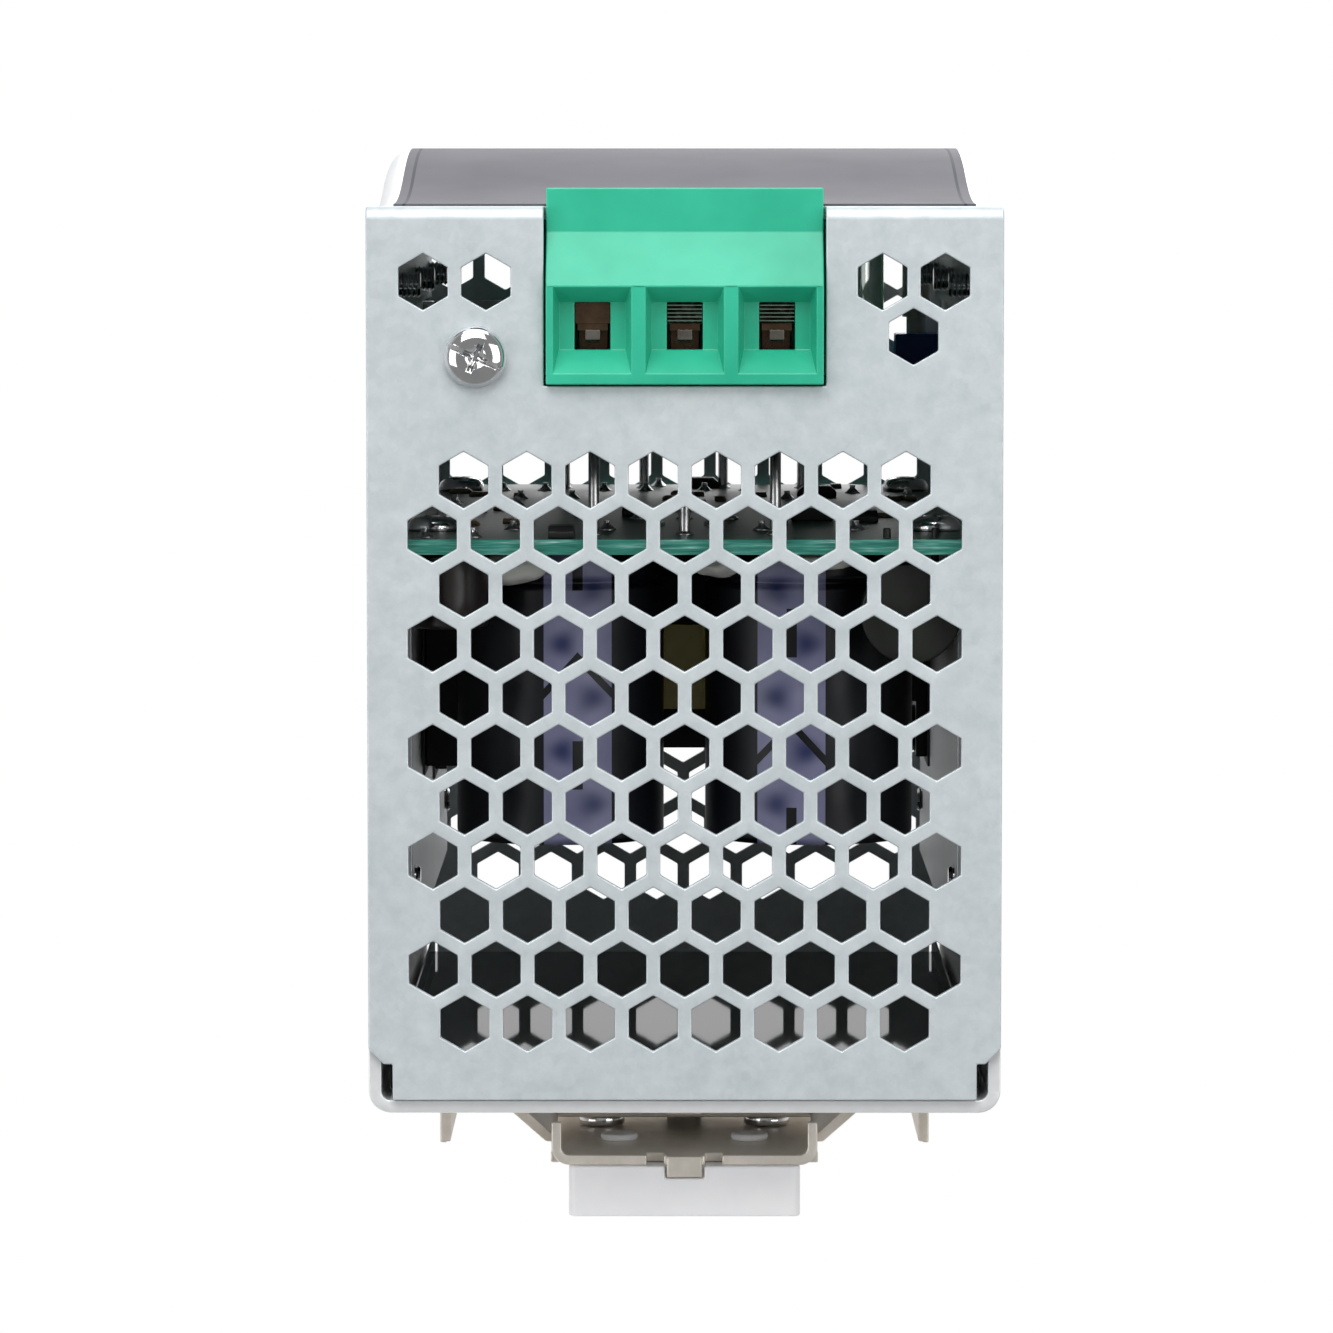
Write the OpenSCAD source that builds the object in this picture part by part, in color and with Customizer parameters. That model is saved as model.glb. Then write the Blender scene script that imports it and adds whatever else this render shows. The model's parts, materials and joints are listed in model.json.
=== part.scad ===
// Enclosed DIN rail power supply: aluminium case, perforated end panels, screw terminals, rail latch.
// X is across the width, Y runs from the front to the rail, Z is up as mounted.
// The origin is the middle of the face that rests against the 35 mm rail.

/* [Case] */
// Width of the case
case_w = 65.5; // [65:0.5:70]
// Height over the two end panels
case_h = 125.2; // [124:0.2:130]
// Depth from the back of the case to the front face at its two ends
case_d = 93.8; // [93:0.2:96]
// Thickness of the aluminium case
wall = 1.3; // [1.2:0.1:1.5]
// How far the curved front rises above its ends
hump_h = 6; // [3:0.5:7]
// Thickness of the galvanised end panels
panel_t = 0.9; // [0.8:0.1:1]

/* [Vents] */
// Size of a hexagonal vent across its flats
vent_af = 5.05; // [4.5:0.05:5.6]
// Distance between neighbouring vents
vent_pitch = 6.5; // [6.3:0.1:6.6]
// Number of rows of vents
vent_rows = 11; // [6:1:11]

/* [Terminals] */
// Distance between neighbouring terminals
pole_pitch = 9.5; // [9.4:0.1:9.6]
// Number of input terminals
input_poles = 3; // [3]
// Number of output terminals
output_poles = 4; // [4]

/* [Rail latch] */
// Distance from the back of the case to the rail
rail_gap = 5.5; // [5.5:0.1:6]
// Height of the rail that the latch grips
rail_h = 35; // [35]
// Thickness of the rail
rail_t = 1; // [1]
// Thickness of the steel bracket
bracket_t = 1.1; // [1:0.1:1.2]

/* [Parts inside] */
// Diameter of the bulk capacitors
bulk_d = 22; // [18:1:22]
// Height of the bulk capacitors
bulk_h = 31; // [25:1:31]

/* [Hidden] */
$fn = 48;
eps = 0.01;

// Case
back_y = -rail_gap;
shelf_y = back_y - case_d;
end_z = case_h / 2;
corner_r = 2.3;
flange_l = 11.5;
flange_gap = 0.1;
cover_z = end_z - flange_l - flange_gap;
cover_t = 1.4;
cover_r = 2.2;
seam_y = -94.5;
seam_gap = 0.15;
side_front_y = shelf_y + panel_t + 0.05;
shell_z = end_z - panel_t - 0.05;
hump_a = 2 * atan(hump_h / cover_z);
hump_r = cover_z / (2 * sin(hump_a));
label_t = 0.25;
label_w = 60.8;
inner_x = case_w / 2 - wall;
tab_zs = [-40, 0, 40];
flange_z = 49;
side_screw_y = -91;
lug_l = 12;

// End panels
panel_back_y = -6.95;
bend_r = 1.35;
notch_y = -12.3;
notch_x = 2.5;
vent_y0 = -71.24;
vent_row = vent_pitch * sqrt(3) / 2;
end_vent_y = -91.6;
top_vent_shift = 1.9;
panel_screw_y = -83.9;
input_screw_x = -21.5;
output_screw_x = -25.6;
screw_hole_r = 1.7;
shank_r = 1.5;

// Terminals, drawn at the lower end and mirrored for the upper one
block_back_y = -81.1;
block_step_y = -91.2;
block_wall_y = -96.7;
block_front_y = -101.2;
block_out_z = -end_z - 1.3;
block_top_z = -end_z + 1.7;
block_in_z = -end_z + 11.2;
pole_z = -end_z + 6;
funnel_w = 8;
funnel_y = [-91.1, -82.2];
funnel_in_w = 6.9;
throat_w = 3.7;
throat_y = [-89.5, -84.6];
funnel_d = 2.6;
chamber_w = 6.8;
chamber_y = [-95, -82.2];
chamber_z = [pole_z - 2.8, pole_z + 4];
clamp_y = [-92, -83.4];
clamp_w = 6.4;
clamp_l = 4.4;
bar_y = [-87.5, -86.5];
bar_w = 3.2;
term_shank_r = 1.7;
term_head_r = 2.6;
term_head_y = [-100.3, -97.7];
well_r = 2.9;
fit = 0.05;
tboard_y = [-78.5, -76.9];
tboard_z = [-end_z + 2.2, -end_z + 13];
post_z = -end_z + 8.5;

// Status light and trimmer, at the upper end
light_x = 22.8;
trim_x = 28.2;
ctrl_z = end_z - 6.2;

// Main board, parallel to the front, parts on its back
pcb_y = [-65, -63.4];
pcb_x = 30.2;
pcb_z = 60.3;
sink_x = [28.6, 31.1];
sink_y = [-62.9, -21];
sink_z = 51;
sink_foot = 4.1;
sink_screw_z = 44;
sink_screw_y = -28;
foot_screw_x = 26.5;
device_x = sink_x[0] - 0.25;
device_hole_y = -38;
device_leg_x = 2.1;
device_pitch = 2.54;
transistor_z = 12;
rectifier_z = 28;
bridge_z0 = -11;
bridge_leg_x = 1.7;
bridge_pitch = 5;
thermistor_x = 23.5;
thermistor_z = -56.6;
thermistor_leg = 2.5;
choke_at = [-16, -52.5, 17];

// Rail bracket and latch
rib_x = 25.4;
leg_x = [19.4, 14.4];
bridge_z = [-28, 18.8];
leg_z = -45.8;
seat_z = 15.4;
seat_step = 0.1;
hook_z = rail_h / 2 + 0.2;
hook_lap = 1.9;
hook_x = [4, 13];
plate_y = rail_t + 0.1;
plate_t = 1.05;
plate_x = 14.2;
plate_z = [-47.6, -rail_h / 2 + hook_lap];
ear_x = 12.2;
ear_r = 1.9;
ear_y = -2.4;
ear_l = 1.3;
latch_travel = 5.5;
stud_x = 9;
stud_z = -25;
stud_r = 1.5;
stud_head_r = 2.5;
stud_head_t = 0.8;
foot_x = 12.25;
foot_y = 7.5;
foot_z = [-48.5, -29];
spring_z = [-33.5, -19];
spring_y = -2.75;
spring_r = 1.2;
spring_wire = 0.25;
spring_turns = 9;
tab_x = 1.9;
rivet_x = 22.3;
rivet_zs = [-38, 12];

// ---------- helpers ----------

// An outline drawn in Y and Z, drawn out across the width
module across(w) {
    rotate([90, 0, 90]) linear_extrude(w, center = true) children();
}

// An outline drawn in X and Z, from y0 and t thick towards the rail
module upright(y0, t) {
    translate([0, y0 + t, 0]) rotate([90, 0, 0]) linear_extrude(t) children();
}

// A rod along Y at a place in X and Z
module rod(r, ys, x = 0, z = 0) {
    translate([x, ys[0], z]) rotate([-90, 0, 0]) cylinder(r = r, h = ys[1] - ys[0]);
}

// A block between two corners given axis by axis
module block(xs, ys, zs) {
    translate([xs[0], ys[0], zs[0]]) cube([xs[1] - xs[0], ys[1] - ys[0], zs[1] - zs[0]]);
}

// A U in X and Y with its bend radius at the back
module u_outline(w, front, back, r) {
    translate([-w / 2, front]) square([w, back - front - r]);
    translate([-w / 2 + r, front]) square([w - 2 * r, back - front]);
    for (s = [-1, 1]) translate([s * (w / 2 - r), back - r]) circle(r);
}

// A straight piece of sheet between two points, square at both ends
module strip(a, b, t) {
    d = b - a;
    translate(a) rotate(atan2(d[1], d[0])) translate([-t / 2, -t / 2]) square([norm(d) + t, t]);
}

// Puts something made for the lower end at the upper end
module at_top() {
    mirror([0, 0, 1]) children();
}

// Place of terminal i of n across the width
function pole_x(i, n) = (i - (n - 1) / 2) * pole_pitch;

// A screw with a domed head and a cross and slot recess: its axis is Z, its head stands on z = 0
module domed_screw(head_r, head_h, r, l) {
    dome = (head_r * head_r + head_h * head_h) / (2 * head_h) + 0.6;
    difference() {
        union() {
            intersection() {
                cylinder(r = head_r, h = head_h);
                translate([0, 0, head_h - dome]) sphere(dome, $fn = 96);
            }
            translate([0, 0, -l]) cylinder(r = r, h = l + eps);
        }
        for (a = [0, 90]) rotate(a) translate([0, 0, head_h])
            cube([head_r * 1.3, head_r * 0.26, head_h * 1.1], center = true);
    }
}

// A countersunk screw: its axis is Z, the top of its head is z = 0
module flat_screw(head_r, r, l) {
    difference() {
        union() {
            translate([0, 0, r - head_r]) cylinder(r1 = r, r2 = head_r, h = head_r - r);
            translate([0, 0, -l]) cylinder(r = r, h = l);
        }
        for (a = [0, 90]) rotate(a) cube([head_r * 1.1, head_r * 0.24, head_r * 0.6], center = true);
    }
}

// ---------- case ----------

// How far the front is turned at height z, and the place on it
function front_turn(z) = asin(min(abs(z), cover_z - abs(z)) / hump_r);
function front_y(z) = abs(z) < cover_z / 2 ? shelf_y - hump_h + hump_r * (1 - cos(front_turn(z)))
    : shelf_y - hump_r * (1 - cos(front_turn(z)));

// A sheet on the curved front. Its inner and outer outlines run from left to right as [across,
// depth behind the surface], and have as many points as each other.
module front_sweep(inner, outer) {
    m = len(inner);
    n = 2 * m;
    steps = 32;
    ring = [each inner, for (i = [m - 1 : -1 : 0]) outer[i]];
    pts = [for (k = [0 : steps]) let(z = cover_z * (2 * k / steps - 1), t = front_turn(z))
        for (p = ring) [p[0], front_y(z) + p[1] * cos(t), z - sign(z) * p[1] * sin(t)]];
    sides = [for (k = [0 : steps - 1]) for (j = [0 : n - 1])
        [n * k + j, n * k + (j + 1) % n, n * (k + 1) + (j + 1) % n, n * (k + 1) + j]];
    low = [for (i = [0 : m - 2]) [n - 1 - i, n - 2 - i, i + 1, i]];
    high = [for (i = [0 : m - 2]) [for (j = [i, i + 1, n - 2 - i, n - 1 - i]) n * steps + j]];
    polyhedron(pts, concat(sides, low, high));
}

// The cover in section, offset inwards by t: a U whose corners have the bend radius
function cover_outline(t) = let(x = case_w / 2 - cover_r, r = cover_r - t, skirt = 12) [
    [-case_w / 2 + t, skirt],
    for (a = [180 : 15 : 270]) [-x + r * cos(a), cover_r + r * sin(a)],
    for (a = [270 : 15 : 360]) [x + r * cos(a), cover_r + r * sin(a)],
    [case_w / 2 - t, skirt]];

module case_shell() {
    color("gainsboro") difference() {
        linear_extrude(2 * shell_z, center = true) difference() {
            u_outline(case_w, side_front_y, back_y, corner_r);
            u_outline(2 * inner_x, side_front_y - 1, back_y - wall, corner_r - wall);
        }
        block([-case_w, case_w], [shelf_y - 1, seam_y + seam_gap], [-cover_z - eps, cover_z + eps]);
        for (s = [-1, 1]) {
            for (z = tab_zs) side_hole(s, side_screw_y, z);
            for (z = [-1, 1]) side_hole(s, sink_screw_y, z * sink_screw_z);
            for (z = rivet_zs) rod(1.6, [back_y - wall - 1, back_y + 1], s * rivet_x, z);
        }
    }
}

// A countersunk hole through a side wall
module side_hole(s, y, z) {
    translate([s * case_w / 2, y, z]) rotate([0, s * 90, 0]) {
        translate([0, 0, -wall - 1]) cylinder(r = 1.6, h = wall + 2);
        translate([0, 0, -1.5]) cylinder(r1 = 1.45, r2 = 2.95, h = 1.5 + eps);
    }
}

module front_cover() {
    color("silver") difference() {
        union() {
            difference() {
                front_sweep(cover_outline(cover_t), cover_outline(0));
                block([-case_w, case_w], [seam_y, back_y], [-end_z, end_z]);
            }
            for (s = [-1, 1]) translate([s * (inner_x - 0.65), 0, 0])
                block([-0.6, 0.6], [seam_y - 2.5, -88], [-flange_z, flange_z]);
        }
        for (s = [-1, 1]) for (z = tab_zs) translate([s * inner_x, side_screw_y, z])
            rotate([0, 90, 0]) cylinder(r = shank_r + fit, h = 4, center = true);
    }
}

module front_label() {
    edge = [-label_w / 2, label_w / 2];
    color([0.56, 0.56, 0.59]) front_sweep([for (x = edge) [x, 0]], [for (x = edge) [x, -label_t]]);
}

module cover_screws() {
    color("silver") for (s = [-1, 1]) for (z = tab_zs)
        translate([s * (case_w / 2 - 0.1), side_screw_y, z]) rotate([0, s * 90, 0])
            flat_screw(2.8, shank_r, 2.5);
}

// ---------- end panels ----------

// The field of vents, whose first row is at y0
module vents(y0) {
    for (row = [0 : vent_rows - 1]) {
        n = 8 + row % 2;
        for (i = [0 : n - 1]) vent((i - (n - 1) / 2) * vent_pitch, y0 + row * vent_row);
    }
}

module vent(x, y) {
    translate([x, y]) rotate(30) circle(vent_af / sqrt(3), $fn = 6);
}

// The panel and its front flange in section
module panel_section() {
    translate([shelf_y + bend_r, -end_z]) square([panel_back_y - shelf_y - bend_r, panel_t]);
    translate([shelf_y, -end_z + bend_r]) square([panel_t, flange_l - bend_r]);
    translate([shelf_y + bend_r, -end_z + bend_r]) intersection() {
        difference() {
            circle(bend_r);
            circle(bend_r - panel_t);
        }
        translate([-bend_r, -bend_r]) square(bend_r);
    }
}

// A panel for the lower end, with room for a terminal block of the given half width and its first
// row of vents at y0
module end_panel(half, screw_x, y0) {
    difference() {
        across(case_w) panel_section();
        translate([0, 0, -end_z - 1]) linear_extrude(panel_t + 2) {
            vents(y0);
            translate([screw_x, panel_screw_y]) circle(screw_hole_r);
            for (s = [-1, 1]) corner_notch(s);
            children();
        }
        block([-half, half], [shelf_y - 1, block_back_y + 0.2], [-end_z - 1, -end_z + flange_l + 1]);
    }
}

// The corner cut away at the back, where the case shows
module corner_notch(s) {
    x = case_w / 2;
    polygon([[s * (x + 1), notch_y - 1], [s * (x - 1.6), notch_y + 1.6], [s * (x - notch_x), notch_y + 1.6],
        [s * (x - notch_x), back_y], [s * (x + 1), back_y]]);
}

module bottom_panel() {
    color("lightgray") end_panel(input_poles * pole_pitch / 2 + 0.25, input_screw_x, vent_y0) {
        for (x = [-26.87, -20.42, 20.3, 26.74]) vent(x, end_vent_y);
        vent(23.5, end_vent_y + vent_row);
    }
}

module top_panel() {
    color("lightgray") at_top() difference() {
        end_panel(output_poles * pole_pitch / 2 + 0.25, output_screw_x, vent_y0 - top_vent_shift) {
            for (x = [-28.2, -21.7, 26.1]) vent(x, end_vent_y);
            vent(26.1, end_vent_y + vent_pitch);
        }
        rod(1.6, [shelf_y - 1, shelf_y + 2], light_x, -ctrl_z);
        rod(2, [shelf_y - 1, shelf_y + 2], trim_x, -ctrl_z);
    }
}

module panel_screw(x) {
    translate([x, panel_screw_y, -end_z]) rotate([180, 0, 0]) rotate(20) domed_screw(3.2, 1.9, shank_r, 5);
}

module panel_screws() {
    color("silver") {
        panel_screw(input_screw_x);
        at_top() panel_screw(output_screw_x);
    }
}

// Angle welded inside the side wall, tapped for the panel screw
module screw_lug(x) {
    z0 = -end_z + panel_t;
    difference() {
        union() {
            block([-inner_x, -inner_x + lug_l], [-87.4, -80.4], [z0, z0 + 1.2]);
            block([-inner_x, -inner_x + 1.2], [-87.4, -80.4], [z0, z0 + 8]);
        }
        translate([x, panel_screw_y, z0 - 1]) cylinder(r = shank_r + fit, h = 4);
    }
}

module screw_lugs() {
    color("darkgray") {
        screw_lug(input_screw_x);
        at_top() screw_lug(output_screw_x);
    }
}

// ---------- terminals ----------

module terminal_housing(n) {
    difference() {
        across(n * pole_pitch) polygon([[block_back_y, block_out_z], [block_step_y, block_out_z],
            [block_wall_y, block_top_z], [block_front_y, block_top_z], [block_front_y, block_in_z],
            [block_back_y, block_in_z]]);
        for (i = [0 : n - 1]) translate([pole_x(i, n), 0, 0]) pole_space();
    }
}

// What is open in one terminal: wire funnel, throat, clamp chamber, screw well and pin slot
module pole_space() {
    z1 = block_out_z + funnel_d;
    hull() {
        block([-funnel_w / 2, funnel_w / 2], funnel_y, [block_out_z - 0.2, block_out_z]);
        block([-funnel_in_w / 2, funnel_in_w / 2], throat_y, [z1 - 0.1, z1]);
    }
    block([-throat_w / 2, throat_w / 2], throat_y, [z1 - 0.5, chamber_z[0] + 1]);
    block([-chamber_w / 2, chamber_w / 2], chamber_y, chamber_z);
    rod(well_r, [block_front_y - 1, term_head_y[1] + 0.2], 0, pole_z);
    rod(term_shank_r + 0.3, [block_front_y - 1, chamber_y[0] + 1], 0, pole_z);
    translate([0, 0, chamber_z[1]])
        block([-bar_w / 2, bar_w / 2], [chamber_y[1] - 1, block_back_y + 1], [-1.2, 0]);
}

// The screw turns in place: its end bears on the contact bar and lifts the clamp
module terminal_screw(i, n) {
    translate([pole_x(i, n), term_head_y[1], pole_z]) rotate([90, 0, 0]) rotate(25 + 40 * i)
        domed_screw(term_head_r, term_head_y[1] - term_head_y[0], term_shank_r,
            bar_y[0] - term_head_y[1] - fit);
}

// The clamp is a square ring that rises on the screw's thread
module terminal_clamp(i, n) {
    top = 1.4;
    side = 0.8;
    translate([pole_x(i, n), 0, 0]) difference() {
        block([-clamp_w / 2, clamp_w / 2], clamp_y, [pole_z - clamp_l / 2, pole_z + clamp_l / 2]);
        block([-clamp_w / 2 + side, clamp_w / 2 - side], [clamp_y[0] + top, clamp_y[1] - 1],
            [pole_z - clamp_l, pole_z + clamp_l]);
        rod(term_shank_r + fit, [clamp_y[0] - 1, clamp_y[0] + top + 1], 0, pole_z);
    }
}

// The bar that the wire is pressed on, the lip in front of it and its leg down to the small board
module contacts(n) {
    z1 = chamber_z[1] - 0.2;
    for (i = [0 : n - 1]) translate([pole_x(i, n), 0, 0]) {
        block([-bar_w / 2, bar_w / 2], bar_y, [chamber_z[0] + 0.1, z1]);
        translate([0, 0, chamber_z[0]])
            block([-bar_w / 2, bar_w / 2], [throat_y[0] + 0.2, bar_y[1]], [0.1, 0.45]);
        block([-bar_w / 2 + 0.1, bar_w / 2 - 0.1], [bar_y[0], block_back_y + 1], [z1 - 0.8, z1]);
        block([-0.5, 0.5], [block_back_y + 1 - eps, tboard_y[1] + 1.2], [z1 - 0.8, z1]);
    }
}

// The board under a terminal block, drilled for its pins and for the posts to the main board
module small_board(n, half) {
    z1 = chamber_z[1] - 0.6;
    difference() {
        block([-half, half], tboard_y, tboard_z);
        for (i = [0 : n - 1]) {
            rod(0.75, [tboard_y[0] - 1, tboard_y[1] + 1], pole_x(i, n), z1);
            rod(0.65, [tboard_y[0] - 1, tboard_y[1] + 1], pole_x(i, n), post_z + 3.4);
        }
    }
}

module posts(n) {
    for (i = [0 : n - 1]) rod(0.6, [tboard_y[0] - 1, pcb_y[1] - 0.1], pole_x(i, n), post_z + 3.4);
}

module input_screw(number) {
    color("silver") terminal_screw(number - 1, input_poles);
}

module output_screw(number) {
    color("silver") at_top() terminal_screw(number - 1, output_poles);
}

module input_clamp(number) {
    color("darkgray") terminal_clamp(number - 1, input_poles);
}

module output_clamp(number) {
    color("darkgray") at_top() terminal_clamp(number - 1, output_poles);
}

module input_terminal_housing() {
    color("mediumseagreen") terminal_housing(input_poles);
}

module output_terminal_housing() {
    color("mediumseagreen") at_top() terminal_housing(output_poles);
}

module input_contacts() {
    color("peru") contacts(input_poles);
}

module output_contacts() {
    color("peru") at_top() contacts(output_poles);
}

module input_board() {
    color("seagreen") small_board(input_poles, 15.5);
}

module output_board() {
    color("seagreen") at_top() small_board(output_poles, 30.8);
}

module board_posts() {
    color("silver") {
        posts(input_poles);
        at_top() posts(output_poles);
    }
}

// ---------- status light and trimmer ----------

module trimmer_body() {
    color("royalblue") difference() {
        translate([trim_x, 0, ctrl_z]) block([-2.6, 2.6], [tboard_y[0] - 5, tboard_y[0]], [-3.3, 3.3]);
        rod(1.25, [tboard_y[0] - 6, tboard_y[0] - 1], trim_x, ctrl_z);
    }
}

// Shaft with a screwdriver slot in its end
module trimmer_rotor() {
    tip_y = shelf_y + 0.2;
    color("white") difference() {
        union() {
            rod(1.2, [tboard_y[0] - 8, tboard_y[0] - 1.3], trim_x, ctrl_z);
            rod(1.7, [tip_y, tboard_y[0] - 7], trim_x, ctrl_z);
        }
        translate([trim_x, tip_y, ctrl_z]) cube([4, 1.6, 0.6], center = true);
    }
}

module status_led() {
    color("palegreen") {
        rod(1.5, [tboard_y[0] - 4.5, tboard_y[0] - 1.2], light_x, ctrl_z);
        rod(1.8, [tboard_y[0] - 1.2, tboard_y[0]], light_x, ctrl_z);
        translate([light_x, tboard_y[0] - 4.5, ctrl_z]) sphere(1.5);
    }
}

module light_pipe() {
    color("azure") {
        rod(1.45, [shelf_y - 0.3, tboard_y[0] - 6.2], light_x, ctrl_z);
        rod(2.1, [shelf_y + panel_t + 0.1, shelf_y + panel_t + 1.4], light_x, ctrl_z);
    }
}

// ---------- main board and its parts ----------

module main_board() {
    color("seagreen") difference() {
        block([-pcb_x, pcb_x], pcb_y, [-pcb_z, pcb_z]);
        for (s = [-1, 1]) for (z = [-1, 1]) board_hole(1.6, s * foot_screw_x, z * sink_screw_z);
        for (i = [0 : input_poles - 1]) board_hole(0.65, pole_x(i, input_poles), post_z + 3.4);
        for (i = [0 : output_poles - 1]) board_hole(0.65, pole_x(i, output_poles), -post_z - 3.4);
        for (i = [-1.5 : 1.5]) board_hole(0.75, -device_x + bridge_leg_x, bridge_z0 + bridge_pitch * i);
        for (i = [-1 : 1]) {
            board_hole(0.55, -device_x + device_leg_x, transistor_z + device_pitch * i);
            board_hole(0.55, device_x - device_leg_x, rectifier_z + device_pitch * i);
        }
        for (s = [-1, 1]) board_hole(0.45, thermistor_x + s * thermistor_leg, thermistor_z);
    }
}

// A hole right through the main board
module board_hole(r, x, z) {
    rod(r, [pcb_y[0] - 1, pcb_y[1] + 1], x, z);
}

module board_screws() {
    color("silver") for (s = [-1, 1]) for (z = [-1, 1])
        translate([s * foot_screw_x, pcb_y[0], z * sink_screw_z]) rotate([90, 0, 0]) rotate(30)
            domed_screw(2.8, 1.7, shank_r, 4.4);
}

// A can that stands on the board: rolled groove near its base, vent cross on its top
module can(d, h, x, z) {
    r = d / 2;
    edge = d * 0.04;
    translate([x, pcb_y[1], z]) rotate([-90, 0, 0]) difference() {
        rotate_extrude() polygon([[0, 0], [r - edge, 0], [r, edge], [r, d * 0.1], [r - edge, d * 0.14],
            [r, d * 0.18], [r, h - edge], [r - edge, h], [0, h]]);
        for (a = [45, 135]) rotate(a) translate([0, 0, h]) cube([d * 0.6, 0.5, 0.5], center = true);
    }
}

module bulk_capacitor_left() {
    color("midnightblue") can(bulk_d, bulk_h, -13.2, -41.6);
}

module bulk_capacitor_right() {
    color("midnightblue") can(bulk_d, bulk_h, 13.2, -41.6);
}

module transformer_core() {
    color("dimgray") difference() {
        block([-17.5, 17.5], [-59.4, -42.4], [-27, 3]);
        block([-12.5, 12.5], [-60, -42], [-22, -2]);
    }
    color("dimgray") block([-5, 5], [-56.4, -45.4], [-23, -1]);
}

module transformer_bobbin() {
    color([0.15, 0.15, 0.15]) {
        difference() {
            union() {
                for (z = [-21.7, -3.5]) block([-12.2, 12.2], [-61.9, -40], [z, z + 1.2]);
                block([-6.2, 6.2], [-57.6, -44.2], [-21.7, -2.3]);
            }
            block([-5.1, 5.1], [-56.5, -45.3], [-23, -1]);
        }
        for (z = [-21.7, -7.3]) block([-12.2, 12.2], [-63.4, -60.6], [z, z + 5]);
    }
}

module transformer_winding() {
    color("gold") difference() {
        block([-11.6, 11.6], [-60.5, -41], [-20.4, -3.6]);
        block([-6.3, 6.3], [-57.7, -44.1], [-23, -1]);
    }
}

// A ring of core or winding standing on the board with its axis along X
module ring(at, ri, ro, w) {
    translate(at) rotate([0, 90, 0]) difference() {
        cylinder(r = ro, h = w, center = true);
        cylinder(r = ri, h = w + 2, center = true);
    }
}

module choke_core() {
    color([0.2, 0.35, 0.25]) ring(choke_at, 5.2, 9, 7.6);
}

// Two half windings over the choke's core
module choke_windings() {
    color("chocolate") for (s = [-1, 1]) difference() {
        ring(choke_at, 4, 10.4, 11);
        ring(choke_at, 5.15, 9.05, 7.7);
        block([-30, 0], [-66, -40], s > 0 ? [-10, 18.5] : [15.5, 50]);
    }
}

module filter_capacitor() {
    color("khaki") block([6.5, 24.5], [-63.4, -47.9], [8, 16.5]);
}

module fuse() {
    color("saddlebrown") rod(4.1, [-63.4, -55.6], -24.5, -55.8);
}

module inrush_thermistor() {
    color("darkolivegreen") {
        translate([thermistor_x, -57.2, thermistor_z]) cylinder(r = 5.2, h = 4, center = true);
        for (s = [-1, 1]) rod(0.4, [pcb_y[0] - 1, -58], thermistor_x + s * thermistor_leg, thermistor_z);
    }
}

module bridge_rectifier() {
    color([0.12, 0.12, 0.12]) translate([-device_x, 0, bridge_z0]) {
        block([0, 3.6], [-56.5, -38], [-11, 11]);
        for (i = [-1.5 : 1.5]) translate([bridge_leg_x, 0, bridge_pitch * i])
            block([-0.5, 0.5], [pcb_y[0] - 1, -56], [-0.5, 0.5]);
    }
}

// A power device flat on the left heat sink, with its middle at height z
module power_device(z) {
    color([0.12, 0.12, 0.12]) translate([-device_x, 0, z]) difference() {
        union() {
            block([0, 1.3], [-50.5, -35], [-5, 5]);
            block([0, 4.4], [-50.5, -41.5], [-5, 5]);
            for (i = [-1 : 1]) translate([device_leg_x, 0, device_pitch * i])
                block([-0.3, 0.3], [pcb_y[0] - 1, -50], [-0.4, 0.4]);
        }
        translate([-1, device_hole_y, 0]) rotate([0, 90, 0]) cylinder(r = 1.75, h = 4);
    }
}

module switching_transistor() {
    power_device(transistor_z);
}

module output_rectifier() {
    mirror([1, 0, 0]) power_device(rectifier_z);
}

module device_pad(z) {
    difference() {
        block([-sink_x[0], -device_x], [-52, -34], [z - 6.5, z + 6.5]);
        translate([-sink_x[0] - 1, device_hole_y, z]) rotate([0, 90, 0]) cylinder(r = 1.65, h = 3);
    }
}

module insulator_pads() {
    color("lightgray") {
        block([-sink_x[0], -device_x], [-57.5, -37], [-23, 1]);
        device_pad(transistor_z);
        mirror([1, 0, 0]) device_pad(rectifier_z);
    }
}

module device_screw(z) {
    translate([-device_x + 1.3, device_hole_y, z]) rotate([0, 90, 0]) domed_screw(2.7, 1.8, shank_r, 3.6);
}

module device_screws() {
    color("silver") {
        device_screw(transistor_z);
        mirror([1, 0, 0]) device_screw(rectifier_z);
    }
}

// A plate along one side wall, with a foot at each end that the board is screwed to
module heat_sink(z_dev) {
    difference() {
        union() {
            block([sink_x[0], sink_x[1]], sink_y, [-sink_z, sink_z]);
            for (z = [-1, 1]) block([sink_x[0] - sink_foot, sink_x[0] + 1], [pcb_y[1], pcb_y[1] + 2.5],
                z > 0 ? [sink_z - 12, sink_z] : [-sink_z, -sink_z + 12]);
            block([sink_x[0], sink_x[1]], [pcb_y[1], sink_y[0] + 1], [-sink_z, -sink_z + 12]);
            block([sink_x[0], sink_x[1]], [pcb_y[1], sink_y[0] + 1], [sink_z - 12, sink_z]);
        }
        for (z = [-1, 1]) {
            rod(shank_r + fit, [pcb_y[1] - 1, pcb_y[1] + 4], foot_screw_x, z * sink_screw_z);
            translate([sink_x[0] - 1, sink_screw_y, z * sink_screw_z]) rotate([0, 90, 0])
                cylinder(r = shank_r + fit, h = 5);
        }
        translate([sink_x[0] - 1, device_hole_y, z_dev]) rotate([0, 90, 0])
            cylinder(r = shank_r + fit, h = 5);
    }
}

module heat_sink_left() {
    color("darkgray") mirror([1, 0, 0]) heat_sink(transistor_z);
}

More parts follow.
